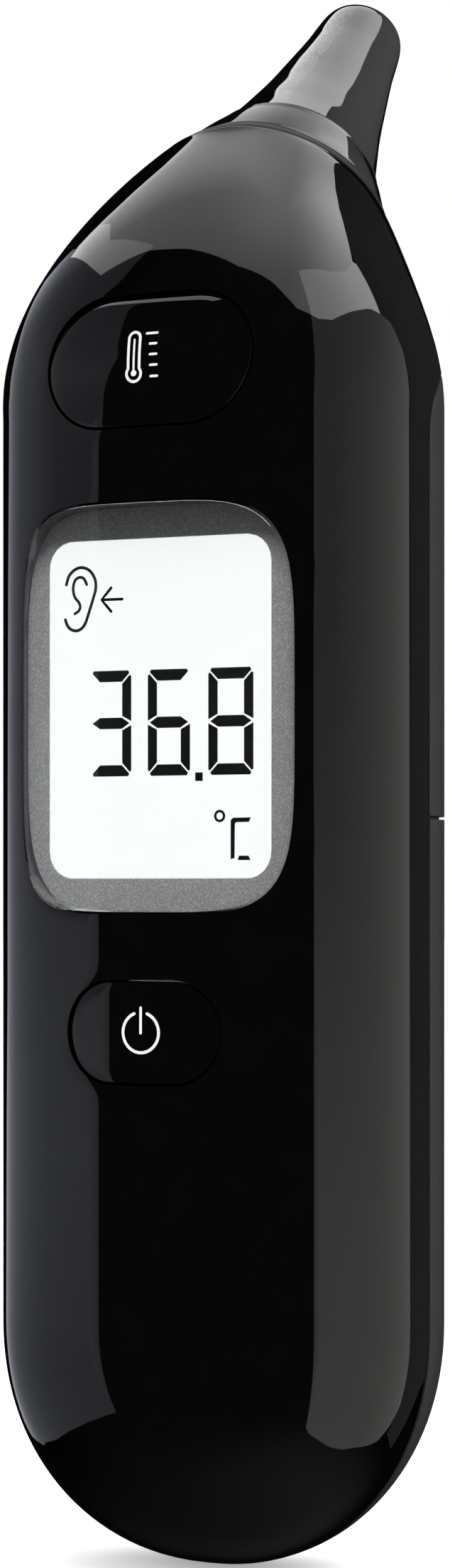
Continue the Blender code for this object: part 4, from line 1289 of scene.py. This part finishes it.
def collar_edge(steps):
    for i in range(1, steps + 1):
        c, s = math.cos(math.pi / 2 * i / steps), math.sin(math.pi / 2 * i / steps)
        shares = (1 - c, 1 - c, s)
        yield tuple(a - b * share for a, b, share in zip(COLLAR_HIGH, COLLAR_EDGE, shares))


collar_profile = [
    (12.1, 11.3, 32.55), *collar_side(10), *collar_edge(5), (COLLAR_BORE, COLLAR_BORE, 25.75),
    (COLLAR_BORE, COLLAR_BORE, 32.55),
]
collar = turned_piece("probe_collar_skin", collar_profile, PROBE, ["probe_collar"])
seal_profile = [
    (12.5, 11.6, 33.85), (12.75, 11.85, 33.6), (12.75, 11.85, 33.0), (12.5, 11.6, 32.75),
    (COLLAR_BORE, COLLAR_BORE, 32.75), (COLLAR_BORE, COLLAR_BORE, 33.85),
]
turned_piece("collar_seal_ring", seal_profile, SEAL, ["collar_seal"])


# ---------------------------------------------------------------- finishes of the CAD nodes
def finish(starts, *args, **kwargs):
    """Gives one material to every carried-over CAD node whose name starts like this."""
    made = material(*args, **kwargs)
    for name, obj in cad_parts.items():
        if name.startswith(tuple(starts.split())):
            obj.data.materials.clear()
            obj.data.materials.append(made)


finish(
    "case_screw_ board_screw_ tray_screw_ measure_switch power_switch",
    "steel", greys(0.5, 0.6), (0.22, 0.38), 2.0, 0.002, 1.0, stretch=(1, 1, 6),
)
finish(
    "bridge_contact bridge_spring positive_contact negative_",
    "contact_steel", greys(0.58, 0.68), (0.18, 0.3), 1.5, 0.002, 1.0,
)
finish(
    "microcontroller sensor_amplifier memory_chip buzzer",
    "chip_black", greys(0.012, 0.02), (0.5, 0.65), 6.0, 0.006,
)
finish(
    "main_board sensor_board",
    "board_green", ((0.004, 0.055, 0.02), (0.008, 0.085, 0.03)), (0.3, 0.45), 1.2, 0.01,
)
finish(
    "backlight_led lcd_holder", "white_plastic", greys(0.68, 0.76), (0.4, 0.5), 1.5, 0.003
)
finish(
    "battery_tray probe_retainer measure_plunger power_plunger",
    "inner_black", greys(0.01, 0.017), (0.42, 0.55), 3.0, 0.005, detail=6,
)
finish(
    "lcd_connector_strip", "connector_rubber", greys(0.02, 0.035), (0.6, 0.75), 2.0, 0.004
)
finish(
    "waveguide_tube",
    "guide_gold", ((0.75, 0.52, 0.2), (0.85, 0.62, 0.27)), (0.1, 0.2), 1.0, 0.001, 1.0,
)
finish(
    "sensor_housing thermopile_can crystal",
    "housing_aluminium", greys(0.52, 0.6), (0.3, 0.42), 3.0, 0.003, 1.0,
)
finish("lcd_glass", "lcd_glass", greys(0.3, 0.36), (0.08, 0.14), 0.5)
finish("backlight_guide", "acrylic", greys(0.75, 0.82), (0.15, 0.25), 0.8)
finish(
    "battery_cell_",
    "cell_jacket", ((0.006, 0.012, 0.03), (0.01, 0.02, 0.05)), (0.25, 0.35), 1.0, 0.002, coat=0.4,
)
finish("sensor_lead", "lead_grey", greys(0.32, 0.4), (0.45, 0.55), 3.0, 0.004)
finish(
    "tip_window",
    "ir_window", ((0.012, 0.012, 0.016), (0.02, 0.02, 0.026)), (0.06, 0.12), 1.0, metallic=0.4,
)


# ---------------------------------------------------------------- stage
CAMERA_TURN = math.radians(27.298)
CAMERA_DISTANCE = 0.372577
EYE_HEIGHT = 0.0669
AXIS = Vector((0.0, DEPTH_SHIFT * MM, 0.0))
CARD_CENTRE = AXIS + Vector((0, 0, 0.066))
CARD_DISTANCE = 1.3
CARD_STEP = 4.0
# Each card lies a little further out than the one before it, so that no two coincide.
CARD_SPACING = 0.004
cards = []


def stage_mesh(name, points, faces, material):
    mesh = bpy.data.meshes.new(name)
    mesh.from_pydata([tuple(p) for p in points], [], faces)
    mesh.materials.append(material)
    obj = scene_object(name, mesh)
    return obj


def direction(turn, rise):
    """A direction by its turn to the right of the way back to the camera, and its rise."""
    turn, rise = math.radians(turn) + CAMERA_TURN, math.radians(rise)
    return Vector(
        (math.sin(turn) * math.cos(rise), -math.cos(turn) * math.cos(rise), math.sin(rise))
    )


def light_material(name, colour=(1, 1, 1), painted=False):
    """Light of strength one. If painted, it has the strength painted on its mesh as radiance,
    and other light shines through it."""
    made = bpy.data.materials.new(name)
    made.use_nodes = True
    tree = made.node_tree
    tree.nodes.clear()
    light = add_node(tree, "Emission", {"Color": (*colour, 1), "Strength": 1.0})
    surface = light.outputs["Emission"]
    if painted:
        radiance = add_node(tree, "Attribute", {}, attribute_name="radiance")
        wire(tree, light, {"Strength": radiance.outputs["Fac"]})
        clear = add_node(tree, "BsdfTransparent", {})
        both = add_node(tree, "AddShader", {0: surface, 1: clear.outputs["BSDF"]})
        surface = both.outputs["Shader"]
    add_node(tree, "OutputMaterial", {"Surface": surface})
    return made


def card(name, corners, radiance, colour=(1, 1, 1), only=(), never=()):
    """A glowing card that the gloss mirrors. corners are (turn, rise) as seen from the middle of
    the body, and radiance(turn, rise) is its brightness there. only and never list the pieces
    that alone see it, or don't."""
    loop = np.array(corners, float)
    turns, rises = (np.arange(loop.min(0)[i], loop.max(0)[i], CARD_STEP) for i in range(2))
    grid = np.array([(turn, rise) for turn in turns for rise in rises])
    grid = grid[inside(loop, grid)]
    grid = grid[distance_to(loop, grid) > CARD_STEP * 0.3]
    made, triangles, _ = triangulate([*loop, *grid], loop_edges(0, len(loop)))
    distance = CARD_DISTANCE + CARD_SPACING * len(cards)
    points = [CARD_CENTRE + direction(*p) * distance for p in made]
    light = light_material(name + "_light", colour, painted=True)
    obj = stage_mesh(name, points, [tuple(face) for face in triangles], light)
    paint = obj.data.attributes.new("radiance", "FLOAT", "POINT")
    for spot, p in zip(paint.data, made):
        spot.value = max(0.0, radiance(*p))
    obj.visible_camera = False
    obj.visible_shadow = False
    cards.append(obj)
    if only or never:
        linked = bpy.data.collections.new(name + "_receivers")
        for piece in only or never:
            linked.objects.link(piece)
        for entry in linked.collection_objects:
            entry.light_linking.link_state = "INCLUDE" if only else "EXCLUDE"
        obj.light_linking.receiver_collection = linked


def through(*stops):
    """A function that goes linearly through (value, result) pairs."""
    values, results = zip(*stops)
    return lambda value: float(np.interp(value, values, results))


def by_turn(*stops):
    """A card's brightness that goes through (turn, brightness) pairs at every rise."""
    along = through(*stops)
    return lambda turn, rise: along(turn)


# Where the light on the left ends, from its top down, and where it meets the light overhead.
LEFT_END = [
    (-149, 33.2), (-152, 29.5), (-155, 26), (-158, 23), (-157, 21.5), (-150, 20.8),
    (-145.5, 19.5), (-143.5, 17.5), (-140.8, 11.5), (-142.5, 8.5), (-144.5, 6), (-146, 2),
    (-146.5, -2), (-149.5, -4.5), (-151, -8), (-151, -11), (-153, -14), (-154, -18),
]
LEFT_TOP = [(-97.5, 59.5), (-101, 54.5), (-104, 50), (-122.8, 45.8), (-143.5, 35.5), (-147, 34.8)]
LEFT_FOOT = [
    (-151, -21), (-140.5, -25.8), (-135, -28.2), (-128, -29.6), (-113, -32.6), (-97, -33),
    (-80, -31.8),
]
LEFT_TINT = (0.93, 0.97, 1.07)
left_glow = through((0, 0.58), (5, 0.3), (10, 0.16), (15, 0.07), (22, 0.0))
left_level = through(
    (-32, 0.43), (-16, 0.43), (-8, 0.48), (-6, 0.56), (-2, 0.58), (0, 0.43), (4, 0.37), (8, 0.42),
    (12, 0.46), (22, 0.43), (34, 0.28), (48, 0.2), (58, 0.18),
)
front_loss = through((-104, 0.0), (-85, 0.13), (-66, 0.17))
loss_rise = through((-1, 0), (4, 1), (14, 1), (24, 0.3), (40, 0))
end_turn = through(*reversed([(rise, turn) for turn, rise in LEFT_END]))


def left_light(turn, rise):
    glow = left_glow(max(0.0, turn - end_turn(rise)))
    return left_level(rise) + glow - front_loss(turn) * loss_rise(rise)


card(
    "left_card",
    [(-65.75, -29.5), (-65.75, 17), (-70, 29), (-84, 45), *LEFT_TOP, *LEFT_END, *LEFT_FOOT],
    left_light, LEFT_TINT, never=[measure_button],
)
card(
    "measure_left_card",
    [
        (-65, -29.5), (-65, 12), (-65.5, 31), (-72, 42), (-81, 52), (-88, 58), *LEFT_TOP[1:],
        *LEFT_END, *LEFT_FOOT,
    ],
    left_light, LEFT_TINT, only=[measure_button],
)


# The light on the right: bright below, dimmer at its far foot, and above a level that grows
# towards the right and fades as it rises.
far_loss, foot_loss = through((50, 0), (80, 0.1)), through((-40, 1), (-20, 0))
right_growth, rise_fade = through((34, 0), (106, 1.2)), through((6, 0.42), (48, 0))


def right_light(turn, rise):
    low = 0.87 - far_loss(turn) * foot_loss(rise)
    high = 0.39 + right_growth(turn) * rise_fade(rise)
    return mix(low, high, smoothstep((rise + 9) / 14))


RIGHT_TOP = [(94, 34), (84, 38.5), (72, 41), (60, 42.5), (40, 42), (28, 44), (22, 46.5)]
card(
    "right_card",
    [
        (21.6, 3), (21.6, -39.5), (25.5, -42.2), (36, -44.8), (50, -47), (66, -46.5), (80, -43.5),
        (94, -40), (104, -36), (110, -30), (113, -24), (111.5, -10), (110.5, 6), (109, 20),
        (103, 29), *RIGHT_TOP,
    ],
    right_light, (1.01, 1.01, 0.975),
)
TOP_RIGHT = [(95, 57), (108, 60), (120, 60.8), (132, 58.5), (144, 51.5), (150, 46), (157, 37)]
HEAD_TOP = [(17, 67), (40, 65.5), (58, 61), (74, 56.5), (90, 55)]
card(
    "right_dim_card",
    [
        (111.5, -32), (111.5, 6), (109, 20), (103, 29), (94, 34), (92.5, 53), *TOP_RIGHT,
        (160, 10), (140, -10), (129, -16), (126, -32),
    ],
    by_turn((94, 0.14), (112, 0.13), (126, 0.10), (140, 0.06), (156, 0.03)),
)
card(
    "head_right_card",
    [*RIGHT_TOP[::-1], (92.5, 53), *HEAD_TOP[::-1]],
    by_turn((15, 2.8), (36, 3.05), (60, 3.8), (75, 4.4), (94, 4.2)),
    never=[nozzle, measure_button],
)
top_turn = through(
    (-180, 1.6), (-156, 2.0), (-146, 2.0), (-140, 1.8), (-136, 1.6), (-124, 1.05), (-90, 1.0),
    (0, 1.22), (24, 1.5), (48, 2.4), (72, 3.3), (96, 4.2), (110, 4.4), (122, 4.1), (132, 3.1),
    (144, 1.95), (156, 1.4), (180, 1.6),
)
TOP_END = np.array([(-146, 36), (-146.2, 39.5), (-147, 42.5), (-149, 44.2), (-151.5, 46.2)])
end_glow = through((0, 1.2), (2, 0.6), (4, 0.2), (7, 0.0))


def top_light(turn, rise):
    glow = end_glow(np.hypot(*(TOP_END - (turn, rise)).T).min()) if turn < -120 else 0.0
    return mix(top_turn(turn), 1.85, smoothstep((rise - 62) / 28)) + glow


card(
    "top_card",
    [
        (-180, 47), (-165, 45.5), (-157, 44.2), (-154, 45.8), *TOP_END[::-1], *LEFT_TOP[:-1][::-1],
        (-88, 63), (-72, 65.5), (-48, 66), (-24, 65), (-12, 62.5), (0, 57), (10, 50.5),
        (22, 46.5), *HEAD_TOP, *TOP_RIGHT, (166, 36), (180, 48), (180, 90), (-180, 90),
    ],
    top_light, never=[nozzle, collar, measure_button],
)
card(
    "measure_top_card",
    [
        (-175, 46), (-150, 43), (-125, 47), (-104, 52), (-88, 57), (-70, 60.5), (-56, 64),
        (-54, 74), (-80, 80), (-175, 80),
    ],
    by_turn((0, 1.7)), only=[measure_button],
)
card(
    "head_left_card",
    [*LEFT_TOP[:-1], (-144.5, 41), (-137, 46.8), (-124, 51), (-112, 57), (-100, 60.5)],
    by_turn((-145, 1.1), (-130, 0.95), (-110, 0.65), (-95, 0.55)), never=[nozzle, collar],
)
card(
    "collar_card",
    [
        (-180, 30), (-176, 30), (-172, 39), (-164, 45), (-145, 50), (-100, 55), (0, 50),
        (40, 44), (80, 38), (120, 38), (147, 37), (156, 32.5), (168, 30), (180, 30),
        (180, 90), (-180, 90),
    ],
    by_turn(
        (-180, 1.0), (-172, 1.3), (-150, 1.1), (0, 1.5), (45, 4.6), (80, 4.3), (110, 2.5),
        (136, 2.9), (142, 1.9), (148, 1.85), (153, 1.25), (158, 1.05), (163, 0.9), (170, 0.78),
        (176, 0.88), (180, 1.0),
    ),
    only=[collar],
)
card(
    "lens_edge_card", [(-180, 38), (100, 38), (100, 90), (-180, 90)], by_turn((0, 5.5)),
    (0.95, 1.0, 0.985), only=[lens],
)
probe_turn = through(
    (-180, 2.9), (-156, 2.7), (60, 3.0), (100, 3.9), (116, 3.7), (132, 3.2), (156, 2.9), (180, 2.8)
)
PROBE_LOW = [(100, 45), (110, 47), (121, 48.7), (131, 50), (136, 54), (150, 52)]
card(
    "probe_top_card",
    [
        (-180, 52), (-172, 47), (-164, 40), (-150, 35), (-100, 45), (0, 50), (60, 45),
        *PROBE_LOW, (180, 52), (180, 90), (-180, 90),
    ],
    lambda turn, rise: mix(probe_turn(turn), 2.4, smoothstep((rise - 60) / 30)), only=[nozzle],
)
card(
    "probe_side_card",
    [(100, 10), *PROBE_LOW, (164, 40), (160, 5), (130, 0)],
    by_turn(
        (100, 0.75), (110, 0.6), (118, 0.42), (126, 0.36), (134, 0.28), (142, 0.2), (150, 0.12),
        (164, 0.03),
    ),
    only=[nozzle, collar],
)

floor_white, _ = principled(
    "floor_white",
    {
        "Base Color": (0.9, 0.9, 0.9, 1), "Roughness": 0.9, "Specular IOR Level": 0.0,
        "Emission Color": (1, 1, 1, 1), "Emission Strength": 0.35,
    },
)
FLOOR_REACH = 5
corners = [(x * FLOOR_REACH, y * FLOOR_REACH, 0) for x, y in ((-1, -1), (1, -1), (1, 1), (-1, 1))]
floor = stage_mesh("floor", corners, [(0, 1, 2, 3)], floor_white)

bm = bmesh.new()
bmesh.ops.create_icosphere(bm, subdivisions=4, radius=4.5)
dome_mesh = bpy.data.meshes.new("backdrop")
bm.to_mesh(dome_mesh)
bm.free()
dome_mesh.materials.append(light_material("backdrop_light"))
dome = scene_object("backdrop", dome_mesh)
dome.visible_shadow = False
for obj in (floor, dome):
    obj.visible_glossy = False
    obj.visible_transmission = False


def studio_world():
    """The dark studio that the gloss mirrors between the cards: a little lighter towards the
    front, and lighter again where the floor is, most of all to the right."""
    made = bpy.data.worlds.new("studio")
    made.use_nodes = True
    tree = made.node_tree
    where = add_node(tree, "TexCoord", {}).outputs["Generated"]

    def along(vector, low, high, to_low, to_high):
        dot = add_node(tree, "VectorMath", {0: where, 1: vector}, operation="DOT_PRODUCT")
        limits = {"From Min": low, "From Max": high, "To Min": to_low, "To Max": to_high}
        value = dot.outputs["Value"]
        return add_range(tree, value, limits, interpolation_type="SMOOTHSTEP")

    front = along(direction(0, 0), -0.3, 0.5, 0.004, 0.034)
    below = along(Vector((0, 0, -1)), 0.5, 0.92, 0.0, 1.0)
    right = along(direction(65, 0), -0.9, 0.7, 0.02, 0.13)
    floor_share = add_node(tree, "Math", {0: below, 1: right}, operation="MULTIPLY")
    inputs = {0: front, 1: floor_share.outputs["Value"]}
    total = add_node(tree, "Math", inputs, operation="ADD")
    inputs = {"Color": (1, 1, 1, 1), "Strength": total.outputs["Value"]}
    wire(tree, tree.nodes["Background"], inputs)
    return made


bpy.context.scene.world = studio_world()

# ---------------------------------------------------------------- camera
camera_data = bpy.data.cameras.new("camera")
camera = scene_object("camera", camera_data)
camera_data.sensor_width = 36.0
camera_data.lens = 86.18
camera_data.shift_x = -0.0005
camera_data.shift_y = 0.0656
camera_data.clip_start = 0.01
camera_data.clip_end = 50.0
camera.location = AXIS + direction(0, 0) * CAMERA_DISTANCE + Vector((0, 0, EYE_HEIGHT))
camera.rotation_euler = (math.pi / 2, 0.0, CAMERA_TURN)
bpy.context.scene.camera = camera
bpy.context.scene.view_settings.view_transform = "Standard"
